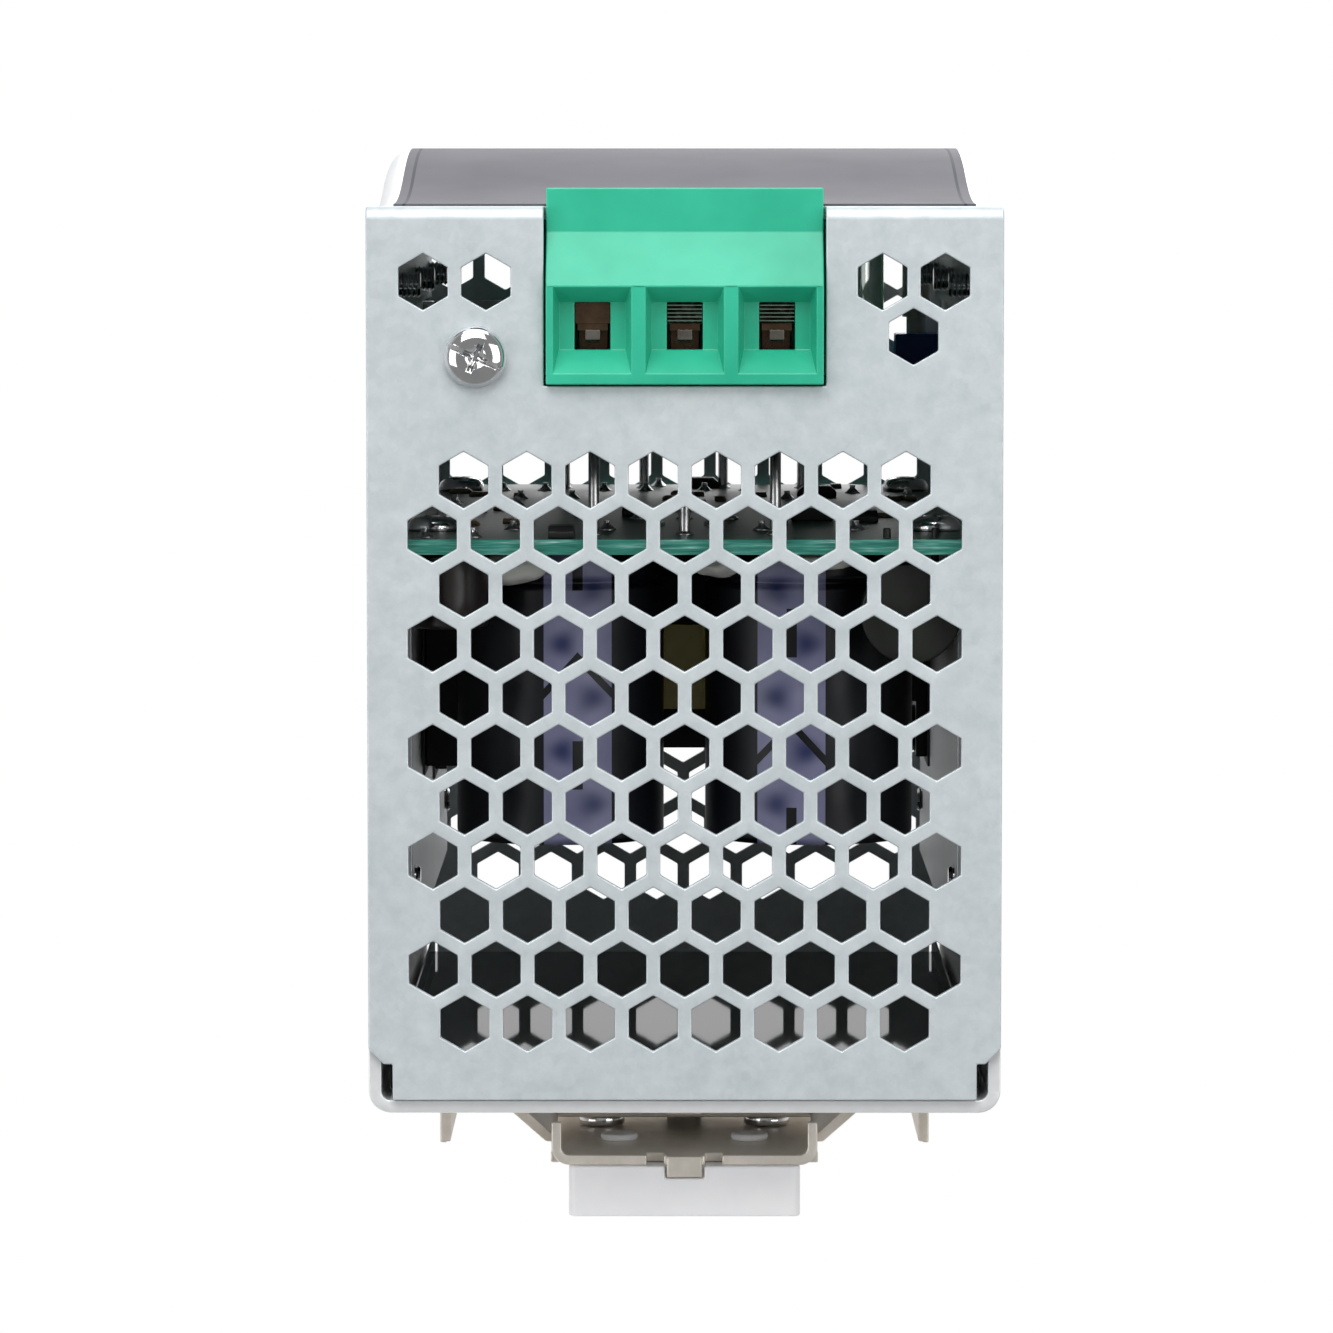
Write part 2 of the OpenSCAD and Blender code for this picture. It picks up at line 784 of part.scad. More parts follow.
module heat_sink_right() {
    color("darkgray") heat_sink(rectifier_z);
}

module heat_sink_screws() {
    color("silver") for (s = [-1, 1]) for (z = [-1, 1])
        translate([s * (case_w / 2 - 0.1), sink_screw_y, z * sink_screw_z]) rotate([0, s * 90, 0])
            flat_screw(2.8, shank_r, 5.2);
}

module output_inductor() {
    color("gold") ring([16, -52.3, 31], 4.6, 10.9, 11);
}

module output_capacitors() {
    color("midnightblue") for (x = [-19, -7, 5]) can(10, 20, x, 44);
}

// ---------- rail bracket and latch ----------

module bracket_side() {
    strip([rib_x, -bracket_t / 2], [rib_x, back_y + bracket_t / 2], bracket_t);
    strip([rib_x, back_y + bracket_t / 2], [leg_x[0], back_y + bracket_t / 2], bracket_t);
}

// Sheet bracket: ribs and a middle bridge that the rail rests on, hooks at the top, and legs that
// reach down on each side of the latch. The sheet is pressed a little lower round the rail seat.
module din_bracket() {
    base_y = back_y + bracket_t / 2;
    hook_y = rail_t + 0.15;
    color("silver") difference() {
        union() {
            for (s = [0, 1]) mirror([s, 0, 0]) {
                translate([0, 0, leg_z]) linear_extrude(bridge_z[1] - leg_z) {
                    bracket_side();
                    strip([leg_x[0], base_y], [leg_x[1], -bracket_t / 2], bracket_t);
                }
                translate([0, 0, bridge_z[0]]) linear_extrude(bridge_z[1] - bridge_z[0])
                    strip([leg_x[1], -bracket_t / 2], [0, -bracket_t / 2], bracket_t);
                block(hook_x, [-bracket_t, hook_y + bracket_t], [hook_z, hook_z + bracket_t]);
                block(hook_x, [hook_y, hook_y + bracket_t], [rail_h / 2 - hook_lap, hook_z + bracket_t]);
            }
            spring_seat();
        }
        for (s = [-1, 1]) {
            for (z = rivet_zs) rod(1.6, [back_y - 1, back_y + 3], s * rivet_x, z);
            rod(stud_r + fit, [-bracket_t - 1, 1], s * stud_x, stud_z);
        }
        block([-tab_x - 0.3, tab_x + 0.3], [-bracket_t - 1, 1],
            [spring_z[1] - latch_travel - 0.5, spring_z[1] + 1.3]);
        block([-rib_x, rib_x], [-seat_step, 1], [leg_z - 1, -seat_z]);
        block([-rib_x, rib_x], [-seat_step, 1], [seat_z, hook_z]);
        block([-rib_x, rib_x], [back_y - 2, back_y], [leg_z - 1, bridge_z[1] + 1]);
    }
}

// Crossbar between the two sides with a bent-up tab that the spring stands on
module spring_seat() {
    block([-rib_x, rib_x], [back_y, back_y + bracket_t], [spring_z[0] - 2.5, spring_z[0]]);
    block([-tab_x, tab_x], [back_y, -bracket_t - 0.2], [spring_z[0] - bracket_t, spring_z[0]]);
}

// Rivets to the case, and the two shouldered studs that the latch slides on
module bracket_rivets() {
    stud_y = plate_y + plate_t + 0.1;
    color("silver") for (s = [-1, 1]) {
        for (z = rivet_zs) {
            rod(1.55, [back_y - wall - 0.5, back_y + bracket_t + 0.2], s * rivet_x, z);
            rod(2.4, [back_y + bracket_t, back_y + bracket_t + 0.9], s * rivet_x, z);
            rod(2.1, [back_y - wall - 0.9, back_y - wall], s * rivet_x, z);
        }
        rod(stud_r, [-bracket_t - 0.7, stud_y + 0.1], s * stud_x, stud_z);
        rod(stud_r + 0.6, [-bracket_t - 0.7, -bracket_t], s * stud_x, stud_z);
        rod(stud_head_r, [-seat_step, plate_y - 0.1], s * stud_x, stud_z);
        rod(stud_head_r, [stud_y, stud_y + stud_head_t], s * stud_x, stud_z);
    }
}

// One ear of the latch plate, bent up out of its lower edge
module latch_ear() {
    c = [ear_x, plate_y + plate_t - ear_r];
    translate([0, 0, plate_z[0]]) linear_extrude(ear_l) {
        translate(c) intersection() {
            difference() {
                circle(ear_r);
                circle(ear_r - plate_t);
            }
            square(ear_r);
        }
        translate([ear_x + ear_r - plate_t, ear_y]) square([plate_t, c[1] - ear_y]);
    }
}

module latch_plate() {
    ys = [plate_y, plate_y + plate_t];
    slot_r = stud_r + 0.1;
    color("lightgray") difference() {
        union() {
            block([-ear_x, ear_x], ys, [plate_z[0], plate_z[0] + ear_l + 1]);
            block([-plate_x, plate_x], ys, [plate_z[0] + ear_l + 0.6, plate_z[1] - 0.8]);
            block([-plate_x + 0.8, plate_x - 0.8], ys, [plate_z[0] + ear_l + 0.6, plate_z[1]]);
            for (s = [0, 1]) mirror([s, 0, 0]) latch_ear();
            block([-1.85, 1.85], ys, [foot_z[0] - 0.1, plate_z[0] + 1]);
            block([-1.85, 1.85], [plate_y, 3.3], [foot_z[0] - 0.1, foot_z[0] + 0.9]);
            block([-tab_x, tab_x], [spring_y - spring_r, plate_y + 0.5], [spring_z[1], spring_z[1] + 1]);
        }
        for (s = [-1, 1]) {
            translate([s * 3.1, 0, plate_z[0]]) block([-0.9, 0.9], [0, 4], [-1, 2.2]);
            rod(1.35, [0, 4], s * 7, -36);
            for (z = [0, latch_travel]) rod(slot_r, [0, 4], s * stud_x, stud_z + z);
            translate([s * stud_x, 0, stud_z]) block([-slot_r, slot_r], [0, 4], [0, latch_travel]);
        }
    }
}

module latch_foot() {
    notch = 0.9;
    color("whitesmoke") difference() {
        union() {
            upright(plate_y + plate_t, foot_y - plate_y - plate_t) hull() for (s = [-1, 1])
                for (z = [foot_z[0] + 0.8, foot_z[1] - 0.8]) translate([s * (foot_x - 0.8), z]) circle(0.8);
            for (s = [-1, 1]) {
                rod(1.3, [plate_y - 0.5, plate_y + plate_t + 0.5], s * 7, -36);
                rod(2, [plate_y - 0.7, plate_y], s * 7, -36);
            }
        }
        block([-2.1, 2.1], [plate_y, 3.45], [foot_z[0] - 1, foot_z[0] + notch + 0.1]);
        for (z = [-45, -42, -39]) translate([0, foot_y, z]) rotate([0, 90, 0])
            cylinder(r = 0.6, h = 30, center = true);
        block([-8, 8], [plate_y + plate_t + 2, foot_y + 1], [-34, foot_z[1] - 1.5]);
    }
}

// Points round the wire at step k of the coil
function coil_ring(k, steps) =
    let(a = 360 * spring_turns * k / steps,
        c = [spring_r * cos(a), spring_r * sin(a),
            spring_wire + (spring_z[1] - spring_z[0] - 2 * spring_wire) * k / steps])
    [for (j = [0 : 7]) c + spring_wire * [cos(45 * j) * cos(a), cos(45 * j) * sin(a), sin(45 * j)]];

module latch_spring() {
    steps = 16 * spring_turns;
    pts = [for (k = [0 : steps]) each coil_ring(k, steps)];
    sides = [for (k = [0 : steps - 1]) for (j = [0 : 7])
        [8 * k + j, 8 * k + (j + 1) % 8, 8 * k + 8 + (j + 1) % 8, 8 * k + 8 + j]];
    ends = [[for (j = [0 : 7]) 7 - j], [for (j = [0 : 7]) 8 * steps + j]];
    color("gray") translate([0, spring_y, spring_z[0]]) polyhedron(pts, concat(sides, ends));
}

case_shell();
bottom_panel();
top_panel();
front_cover();
front_label();
cover_screws();
panel_screws();
screw_lugs();
input_terminal_housing();
input_screw(1);  // input_screw_1
input_screw(2);  // input_screw_2
input_screw(3);  // input_screw_3
input_clamp(1);  // input_clamp_1
input_clamp(2);  // input_clamp_2
input_clamp(3);  // input_clamp_3
input_contacts();
input_board();
output_terminal_housing();
output_screw(1);  // output_screw_1
output_screw(2);  // output_screw_2
output_screw(3);  // output_screw_3
output_screw(4);  // output_screw_4
output_clamp(1);  // output_clamp_1
output_clamp(2);  // output_clamp_2
output_clamp(3);  // output_clamp_3
output_clamp(4);  // output_clamp_4
output_contacts();
output_board();
board_posts();
trimmer_body();
trimmer_rotor();
status_led();
light_pipe();
main_board();
board_screws();
bulk_capacitor_left();
bulk_capacitor_right();
transformer_core();
transformer_bobbin();
transformer_winding();
choke_core();
choke_windings();
filter_capacitor();
fuse();
inrush_thermistor();
bridge_rectifier();
switching_transistor();
output_rectifier();
device_screws();
insulator_pads();
heat_sink_left();
heat_sink_right();
heat_sink_screws();
output_inductor();
output_capacitors();
din_bracket();
bracket_rivets();
latch_plate();
latch_foot();
latch_spring();
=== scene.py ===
# Enclosed DIN rail power supply: looks, materials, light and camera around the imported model
import bpy
import json
import random
from math import cos, pi, radians, sin
from mathutils import Matrix, Vector


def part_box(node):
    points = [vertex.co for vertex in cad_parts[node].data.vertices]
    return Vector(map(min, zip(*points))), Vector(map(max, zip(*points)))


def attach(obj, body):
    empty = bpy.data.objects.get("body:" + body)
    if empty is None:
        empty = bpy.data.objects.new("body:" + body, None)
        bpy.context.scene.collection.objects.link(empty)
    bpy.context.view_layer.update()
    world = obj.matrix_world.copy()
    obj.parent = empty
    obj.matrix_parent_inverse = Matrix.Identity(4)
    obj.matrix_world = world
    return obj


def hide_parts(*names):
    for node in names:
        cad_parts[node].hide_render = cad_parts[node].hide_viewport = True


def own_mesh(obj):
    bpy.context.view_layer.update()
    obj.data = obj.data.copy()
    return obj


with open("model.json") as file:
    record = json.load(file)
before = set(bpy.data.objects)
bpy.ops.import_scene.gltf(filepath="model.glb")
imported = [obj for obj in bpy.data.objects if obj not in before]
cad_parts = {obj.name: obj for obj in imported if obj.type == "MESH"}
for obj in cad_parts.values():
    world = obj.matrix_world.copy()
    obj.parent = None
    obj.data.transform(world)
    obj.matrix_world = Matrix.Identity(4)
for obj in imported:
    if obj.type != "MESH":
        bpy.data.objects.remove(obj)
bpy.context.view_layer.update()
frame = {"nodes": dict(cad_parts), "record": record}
bodies = frame["record"]["behaviour"]["bodies"]
bodyOf = {node: body for body, members in bodies.items() for node in members}
slotOf = {part["node"]: part["material_slot"] for part in frame["record"]["subparts"]}
mm = 0.001
random.seed(7)


# ---- small helpers ----

def linearColour(hexText, alpha=1.0):
    # sRGB hex to the linear values that the shaders want
    parts = [int(hexText[i:i + 2], 16) / 255 for i in (0, 2, 4)]
    return [c / 12.92 if c <= 0.04045 else ((c + 0.055) / 1.055) ** 2.4 for c in parts] + [alpha]


def addNode(tree, kind, inputs=None, out=0, stops=(), **settings):
    # one node with its settings and inputs, each a value or another node's output; gives back one output
    node = tree.nodes.new("ShaderNode" + kind)
    for name, value in settings.items():
        setattr(node, name, value)
    for name, value in (inputs or {}).items():
        if isinstance(value, bpy.types.NodeSocket):
            tree.links.new(value, node.inputs[name])
        else:
            node.inputs[name].default_value = value
    for i, (place, colour) in enumerate(stops):
        row = node.color_ramp.elements
        stop = row[i] if i < 2 else row.new(place)
        stop.position, stop.color = place, linearColour(colour)
    return node.outputs[out]


def startMaterial(name, **shader):
    # a material with its shader's uniform values set on the shader's own sockets
    material = bpy.data.materials.new(name)
    material.use_nodes = True
    tree = material.node_tree
    for socket, value in shader.items():
        tree.nodes["Principled BSDF"].inputs[socket.replace("_", " ")].default_value = value
    return material, tree, addNode(tree, "TexCoord", out="Object")


def cover(tree, colour, roughness, height=None, depth=0.0, strength=0.3, metallic=None):
    # sends a material's outputs into its shader, with a height as fine bumps
    skin = tree.nodes["Principled BSDF"].inputs
    tree.links.new(colour, skin["Base Color"])
    tree.links.new(roughness, skin["Roughness"])
    if height:
        tree.links.new(addNode(tree, "Bump", {"Height": height, "Distance": depth, "Strength": strength}),
                       skin["Normal"])
    if metallic:
        tree.links.new(metallic, skin["Metallic"])


# ---- materials ----

def galvanisedSheet():
    # hot-dip galvanised steel: dull zinc, finely clouded, with a faint fine spangle
    material, tree, where = startMaterial("galvanisedSheet", Metallic=0.6)
    spangle = addNode(tree, "TexVoronoi", {"Vector": where, "Scale": 1100.0}, "Color")
    grey = addNode(tree, "SeparateColor", {"Color": spangle})
    cloud = addNode(tree, "TexNoise", {"Vector": where, "Scale": 420.0, "Detail": 5.0, "Roughness": 0.65})
    slow = addNode(tree, "TexNoise", {"Vector": where, "Scale": 60.0, "Detail": 2.0})
    both = addNode(tree, "Math", {0: grey, 1: 0.14, 2: cloud}, operation="MULTIPLY_ADD")
    both = addNode(tree, "Math", {0: slow, 1: 0.35, 2: both}, operation="MULTIPLY_ADD")
    colour = addNode(tree, "ValToRGB", {"Fac": both},
                     stops=[(0.45, "c0c9cc"), (0.75, "cbd3d6"), (1.0, "d4dbde")])
    fine = addNode(tree, "TexNoise", {"Vector": where, "Scale": 900.0, "Detail": 4.0, "Roughness": 0.7})
    roughness = addNode(tree, "MapRange", {"Value": fine, "To Min": 0.46, "To Max": 0.62})
    cover(tree, colour, roughness, fine, 0.00003, 0.35)
    return material


def satinAluminium(name="satinAluminium", colours=("c9cbcd", "dcdee0"), line=(900.0, 900.0, 14.0),
                   roughness=(0.30, 0.46), metallic=0.9):
    # drawn aluminium, etched and clear anodised: fine lines along the drawing direction
    material, tree, where = startMaterial(name, Metallic=metallic)
    along = addNode(tree, "Mapping", {"Vector": where, "Scale": line})
    lines = addNode(tree, "TexNoise", {"Vector": along, "Scale": 1.0, "Detail": 4.0, "Roughness": 0.6})
    cloud = addNode(tree, "TexNoise", {"Vector": where, "Scale": 25.0, "Detail": 3.0})
    both = addNode(tree, "Math", {0: lines, 1: 0.5, 2: cloud}, operation="MULTIPLY_ADD")
    colour = addNode(tree, "ValToRGB", {"Fac": both}, stops=[(0.1, colours[0]), (0.9, colours[1])])
    shine = addNode(tree, "MapRange", {"Value": lines, "To Min": roughness[0], "To Max": roughness[1]})
    cover(tree, colour, shine, lines, 0.00002)
    return material


film = {"edgeShadeIn": 1.1, "edgeShadeHalf": 0.16, "bandAt": 16, "bandHalf": 5.0, "sideGap": 3, "rulePitch": 5.5,
        "ruleHalf": 0.14, "ruledPart": 58, "ruledTo": 82}


def printedFilm():
    # silver-grey polyester overlay: satin print, with a line of painted shade just inside each side edge, one
    # band and plain rules
    material, tree, where = startMaterial("printedFilm", Metallic=0.1, Specular_IOR_Level=0.2)
    low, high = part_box("front_label")
    along = addNode(tree, "Mapping", {"Vector": where, "Scale": (60.0, 60.0, 60.0)})
    brushed = addNode(tree, "TexNoise", {"Vector": along, "Scale": 1.0, "Detail": 3.0})
    cloud = addNode(tree, "TexNoise", {"Vector": where, "Scale": 75.0, "Detail": 3.0})
    both = addNode(tree, "Math", {0: cloud, 1: 0.8, 2: brushed}, operation="MULTIPLY_ADD")
    ground = addNode(tree, "ValToRGB", {"Fac": both}, stops=[(0.6, "55555d"), (1.0, "64646b")])
    parts = addNode(tree, "SeparateXYZ", {"Vector": where}).node.outputs
    side = addNode(tree, "Math", {0: parts["X"]}, operation="ABSOLUTE")
    # a dark line just inside each side edge: painted shade where the film meets its border
    edgeShadeLine = addNode(tree, "Math", {0: side, 1: high.x - film["edgeShadeIn"] * mm, 2: film["edgeShadeHalf"] * mm},
                     operation="COMPARE")
    inner = addNode(tree, "Math", {0: side, 1: high.x - film["sideGap"] * mm}, operation="LESS_THAN")
    band = addNode(tree, "Math", {0: parts["Z"], 1: high.z - film["bandAt"] * mm, 2: film["bandHalf"] * mm},
                   operation="COMPARE")
    band = addNode(tree, "Math", {0: band, 1: inner}, operation="MULTIPLY")
    shifted = addNode(tree, "Math", {0: parts["Z"], 1: 1.0}, operation="ADD")
    rule = addNode(tree, "Math", {0: shifted, 1: film["rulePitch"] * mm}, operation="PINGPONG")
    rule = addNode(tree, "Math", {0: rule, 1: film["ruleHalf"] * mm}, operation="LESS_THAN")
    lower = addNode(tree, "Math", {0: parts["Z"], 1: low.z + film["ruledPart"] * mm},
                    operation="GREATER_THAN")
    rule = addNode(tree, "Math", {0: rule, 1: lower}, operation="MULTIPLY")
    upper = addNode(tree, "Math", {0: parts["Z"], 1: low.z + film["ruledTo"] * mm}, operation="LESS_THAN")
    rule = addNode(tree, "Math", {0: rule, 1: upper}, operation="MULTIPLY")
    rule = addNode(tree, "Math", {0: rule, 1: inner}, operation="MULTIPLY")
    # dark marks: the painted shade line and the printed rules
    dark = addNode(tree, "Math", {0: edgeShadeLine, 1: rule}, operation="MAXIMUM")
    colour = addNode(tree, "Mix", {0: dark, 6: ground, 7: linearColour("3f4148")}, 2, data_type="RGBA")
    colour = addNode(tree, "Mix", {0: band, 6: colour, 7: linearColour("4a5467")}, 2, data_type="RGBA")
    shine = addNode(tree, "MapRange", {"Value": brushed, "To Min": 0.55, "To Max": 0.68})
    cover(tree, colour, shine, brushed, 0.00001, 0.25)
    return material


def platedSteel(name, colours, roughness, metallic=1.0, grain=500.0):
    # plated steel: slightly warm or cool by its plating, with fine rolling grain and handling marks
    material, tree, where = startMaterial(name, Metallic=metallic)
    rolled = addNode(tree, "Mapping", {"Vector": where, "Scale": (1.0, 1.0, 0.2)})
    fine = addNode(tree, "TexNoise", {"Vector": rolled, "Scale": grain, "Detail": 4.0, "Roughness": 0.6})
    marks = addNode(tree, "TexNoise", {"Vector": where, "Scale": 160.0, "Detail": 5.0, "Roughness": 0.7})
    both = addNode(tree, "Math", {0: fine, 1: 0.4, 2: marks}, operation="MULTIPLY_ADD")
    colour = addNode(tree, "ValToRGB", {"Fac": both}, stops=[(0.4, colours[0]), (0.95, colours[1])])
    shine = addNode(tree, "MapRange", {"Value": marks, "From Min": 0.3, "From Max": 0.75,
                                       "To Min": roughness[0], "To Max": roughness[1]})
    cover(tree, colour, shine, fine, 0.00002)
    return material


def mouldedPlastic(name, colours, roughness=(0.38, 0.5), glow=0.0, glowDepth=0.6, drift=120.0, **shader):
    # moulded plastic: a light spark-eroded grain and slow colour drift where the melt cooled
    material, tree, where = startMaterial(name, Subsurface_Weight=glow, Subsurface_Scale=glowDepth * mm,
                                          Subsurface_Radius=(1.0, 0.9, 0.8), **shader)
    cloud = addNode(tree, "TexNoise", {"Vector": where, "Scale": drift, "Detail": 3.0, "Roughness": 0.6})
    colour = addNode(tree, "ValToRGB", {"Fac": cloud}, stops=[(0.3, colours[0]), (0.7, colours[1])])
    grit = addNode(tree, "TexNoise", {"Vector": where, "Scale": 1400.0, "Detail": 2.0})
    shine = addNode(tree, "MapRange", {"Value": grit, "To Min": roughness[0], "To Max": roughness[1]})
    cover(tree, colour, shine, grit, 0.00003, 0.35)
    return material


def circuitBoard():
    # glass epoxy: green solder mask over copper tracks on the faces, streaky raw laminate on the cut edges
    material, tree, where = startMaterial("circuitBoard", Specular_IOR_Level=0.5)
    flat = addNode(tree, "Mapping", {"Vector": where, "Rotation": (pi / 2, 0, 0)})
    tracks = addNode(tree, "TexBrick", {
        "Vector": flat, "Scale": 1.0, "Mortar Size": 0.0009, "Brick Width": 0.011, "Row Height": 0.0042,
        "Color1": (1, 1, 1, 1), "Color2": (0.6, 0.6, 0.6, 1), "Mortar": (0, 0, 0, 1)})
    mask = addNode(tree, "Mix", {0: tracks, 6: linearColour("12382b"), 7: linearColour("1b523f")}, 2,
                   data_type="RGBA")
    plies = addNode(tree, "Mapping", {"Vector": where, "Scale": (140.0, 2600.0, 140.0)})
    plies = addNode(tree, "TexNoise", {"Vector": plies, "Scale": 1.0, "Detail": 3.0, "Roughness": 0.7})
    edge = addNode(tree, "ValToRGB", {"Fac": plies},
                   stops=[(0.3, "0e5f51"), (0.5, "2b7f70"), (0.62, "5f9f92"), (0.74, "c9ded8")])
    facing = addNode(tree, "NewGeometry", out="True Normal")
    facing = addNode(tree, "SeparateXYZ", {"Vector": facing}, "Y")
    facing = addNode(tree, "Math", {0: facing}, operation="ABSOLUTE")
    onEdge = addNode(tree, "Math", {0: facing, 1: 0.5}, operation="LESS_THAN")
    colour = addNode(tree, "Mix", {0: onEdge, 6: mask, 7: edge}, 2, data_type="RGBA")
    shine = addNode(tree, "MapRange", {"Value": onEdge, "To Min": 0.32, "To Max": 0.75})
    cover(tree, colour, shine, plies, 0.00004)
    return material


sleeveHighlightAndMarks = {"spotPitch": 5.629, "spotStart": -70.5, "spotSide": 1.6, "spotSize": 2.4, "markPitch": 20.9,
               "dash": 5.1, "dashHalf": 0.54, "chevronAt": 12.1, "chevronHalf": 0.55, "slope": 1.08}


def sleeveHighlightAndPrint(name, centreX, centreZ, width, markStart):
    # PET shrink sleeve on a can: near-black blue, with a hazy lavender painted highlight on the half facing -Z,
    # broken by darker blots, and plain polarity marks printed over it
    p = sleeveHighlightAndMarks
    material, tree, where = startMaterial(name, Specular_IOR_Level=0.4)
    parts = addNode(tree, "SeparateXYZ", {"Vector": where}).node.outputs
    # where the painted highlight lies: a band near centreX on the half facing -Z
    across = addNode(tree, "Math", {0: parts["X"], 1: centreX * mm}, operation="SUBTRACT")
    off = addNode(tree, "Math", {0: across}, operation="ABSOLUTE")
    near = addNode(tree, "Math", {0: off, 1: width / 2 * mm}, operation="LESS_THAN")
    facing = addNode(tree, "Math", {0: parts["Z"], 1: centreZ * mm}, operation="LESS_THAN")
    onHighlight = addNode(tree, "Math", {0: near, 1: facing}, operation="MULTIPLY")
    # soft darker blue blots in the painted highlight, which step from side to side
    down = addNode(tree, "Math", {0: parts["Y"], 1: p["spotStart"] * mm}, operation="SUBTRACT")
    rows = addNode(tree, "Math", {0: down, 1: p["spotPitch"] * mm}, operation="DIVIDE")
    swing = addNode(tree, "Math", {0: rows, 1: pi}, operation="MULTIPLY")
    swing = addNode(tree, "Math", {0: swing}, operation="COSINE")
    outward = p["spotSide"] * mm * (1 if centreX < 0 else -1)
    blotX = addNode(tree, "Math", {0: swing, 1: -outward, 2: across}, operation="MULTIPLY_ADD")
    blotY = addNode(tree, "Math", {0: rows, 1: 0.5}, operation="ADD")
    blotY = addNode(tree, "Math", {0: blotY}, operation="FRACT")
    blotY = addNode(tree, "Math", {0: blotY, 1: 0.5}, operation="SUBTRACT")
    blotY = addNode(tree, "Math", {0: blotY, 1: p["spotPitch"] * mm}, operation="MULTIPLY")
    away = addNode(tree, "CombineXYZ", {"X": blotX, "Y": blotY})
    away = addNode(tree, "VectorMath", {0: away}, "Value", operation="LENGTH")
    blot = addNode(tree, "MapRange", {"Value": away, "From Max": p["spotSize"] * mm,
                                      "To Min": 1.0, "To Max": 0.0}, interpolation_type="SMOOTHSTEP")
    # a dash and a chevron in turn
    shift = (20 * p["markPitch"] - markStart) * mm
    run = addNode(tree, "Math", {0: parts["Y"], 1: shift}, operation="ADD")
    run = addNode(tree, "Math", {0: run, 1: p["markPitch"] * mm}, operation="MODULO")
    dash = addNode(tree, "Math", {0: run, 1: p["dash"] * mm}, operation="LESS_THAN")
    middle = addNode(tree, "Math", {0: off, 1: p["dashHalf"] * mm}, operation="LESS_THAN")
    dash = addNode(tree, "Math", {0: dash, 1: middle}, operation="MULTIPLY")
    arm = addNode(tree, "Math", {0: off, 1: -p["slope"], 2: run}, operation="MULTIPLY_ADD")
    arm = addNode(tree, "Math", {0: arm, 1: p["chevronAt"] * mm, 2: p["chevronHalf"] * mm},
                  operation="COMPARE")
    marks = addNode(tree, "Math", {0: dash, 1: arm}, operation="MAXIMUM")
    cloud = addNode(tree, "TexNoise", {"Vector": where, "Scale": 160.0, "Detail": 3.0})
    # hazy lavender colour of the painted highlight, and the sleeve's own near-black ground
    highlightBand = addNode(tree, "ValToRGB", {"Fac": cloud}, stops=[(0.3, "6f7091"), (0.7, "8788a5")])
    ground = addNode(tree, "ValToRGB", {"Fac": cloud}, stops=[(0.3, "07080d"), (0.7, "0d1018")])
    highlightBand = addNode(tree, "Mix", {0: blot, 6: highlightBand, 7: linearColour("2e3560")}, 2, data_type="RGBA")
    highlightBand = addNode(tree, "Mix", {0: marks, 6: highlightBand, 7: linearColour("08090c")}, 2, data_type="RGBA")
    colour = addNode(tree, "Mix", {0: onHighlight, 6: ground, 7: highlightBand}, 2, data_type="RGBA")
    shine = addNode(tree, "MapRange", {"Value": cloud, "To Min": 0.3, "To Max": 0.45})
    cover(tree, colour, shine, cloud, 0.00002, 0.2)
    return material


def sinteredFerrite():
    # pressed and sintered ferrite: dark, matt, with pores and ground faces
    material, tree, where = startMaterial("sinteredFerrite", Metallic=0.1)
    pores = addNode(tree, "TexNoise", {"Vector": where, "Scale": 1500.0, "Detail": 5.0, "Roughness": 0.7})
    colour = addNode(tree, "ValToRGB", {"Fac": pores}, stops=[(0.35, "121214"), (0.7, "222225")])
    shine = addNode(tree, "MapRange", {"Value": pores, "To Min": 0.55, "To Max": 0.8})
    cover(tree, colour, shine, pores, 0.00005, 0.5)
    return material


def polyesterTape():
    # yellow polyester tape: thin, glossy, with the laps of each turn and small wrinkles
    material, tree, where = startMaterial("polyesterTape", Subsurface_Weight=0.15, Subsurface_Scale=0.3 * mm,
                                          Coat_Weight=0.5, Coat_Roughness=0.15)
    laps = addNode(tree, "TexWave", {"Vector": where, "Scale": 40.0, "Distortion": 1.5, "Detail": 2.0}, "Fac",
                   bands_direction="Z")
    colour = addNode(tree, "ValToRGB", {"Fac": laps},
                     stops=[(0.0, "b8a406"), (0.5, "d2be16"), (1.0, "dccb35")])
    wrinkle = addNode(tree, "TexNoise", {"Vector": where, "Scale": 350.0, "Detail": 4.0})
    shine = addNode(tree, "MapRange", {"Value": wrinkle, "To Min": 0.2, "To Max": 0.38})
    cover(tree, colour, shine, wrinkle, 0.0001, 0.35)
    return material


def enamelledCopper():
    # enamelled winding wire: copper under amber varnish
    material, tree, where = startMaterial("enamelledCopper", Metallic=0.85, Coat_Weight=0.7,
                                          Coat_Roughness=0.1)
    streak = addNode(tree, "TexNoise", {"Vector": where, "Scale": 420.0, "Detail": 3.0})
    colour = addNode(tree, "ValToRGB", {"Fac": streak}, stops=[(0.3, "7c3410"), (0.7, "a05224")])
    shine = addNode(tree, "MapRange", {"Value": streak, "To Min": 0.2, "To Max": 0.35})
    cover(tree, colour, shine)
    return material


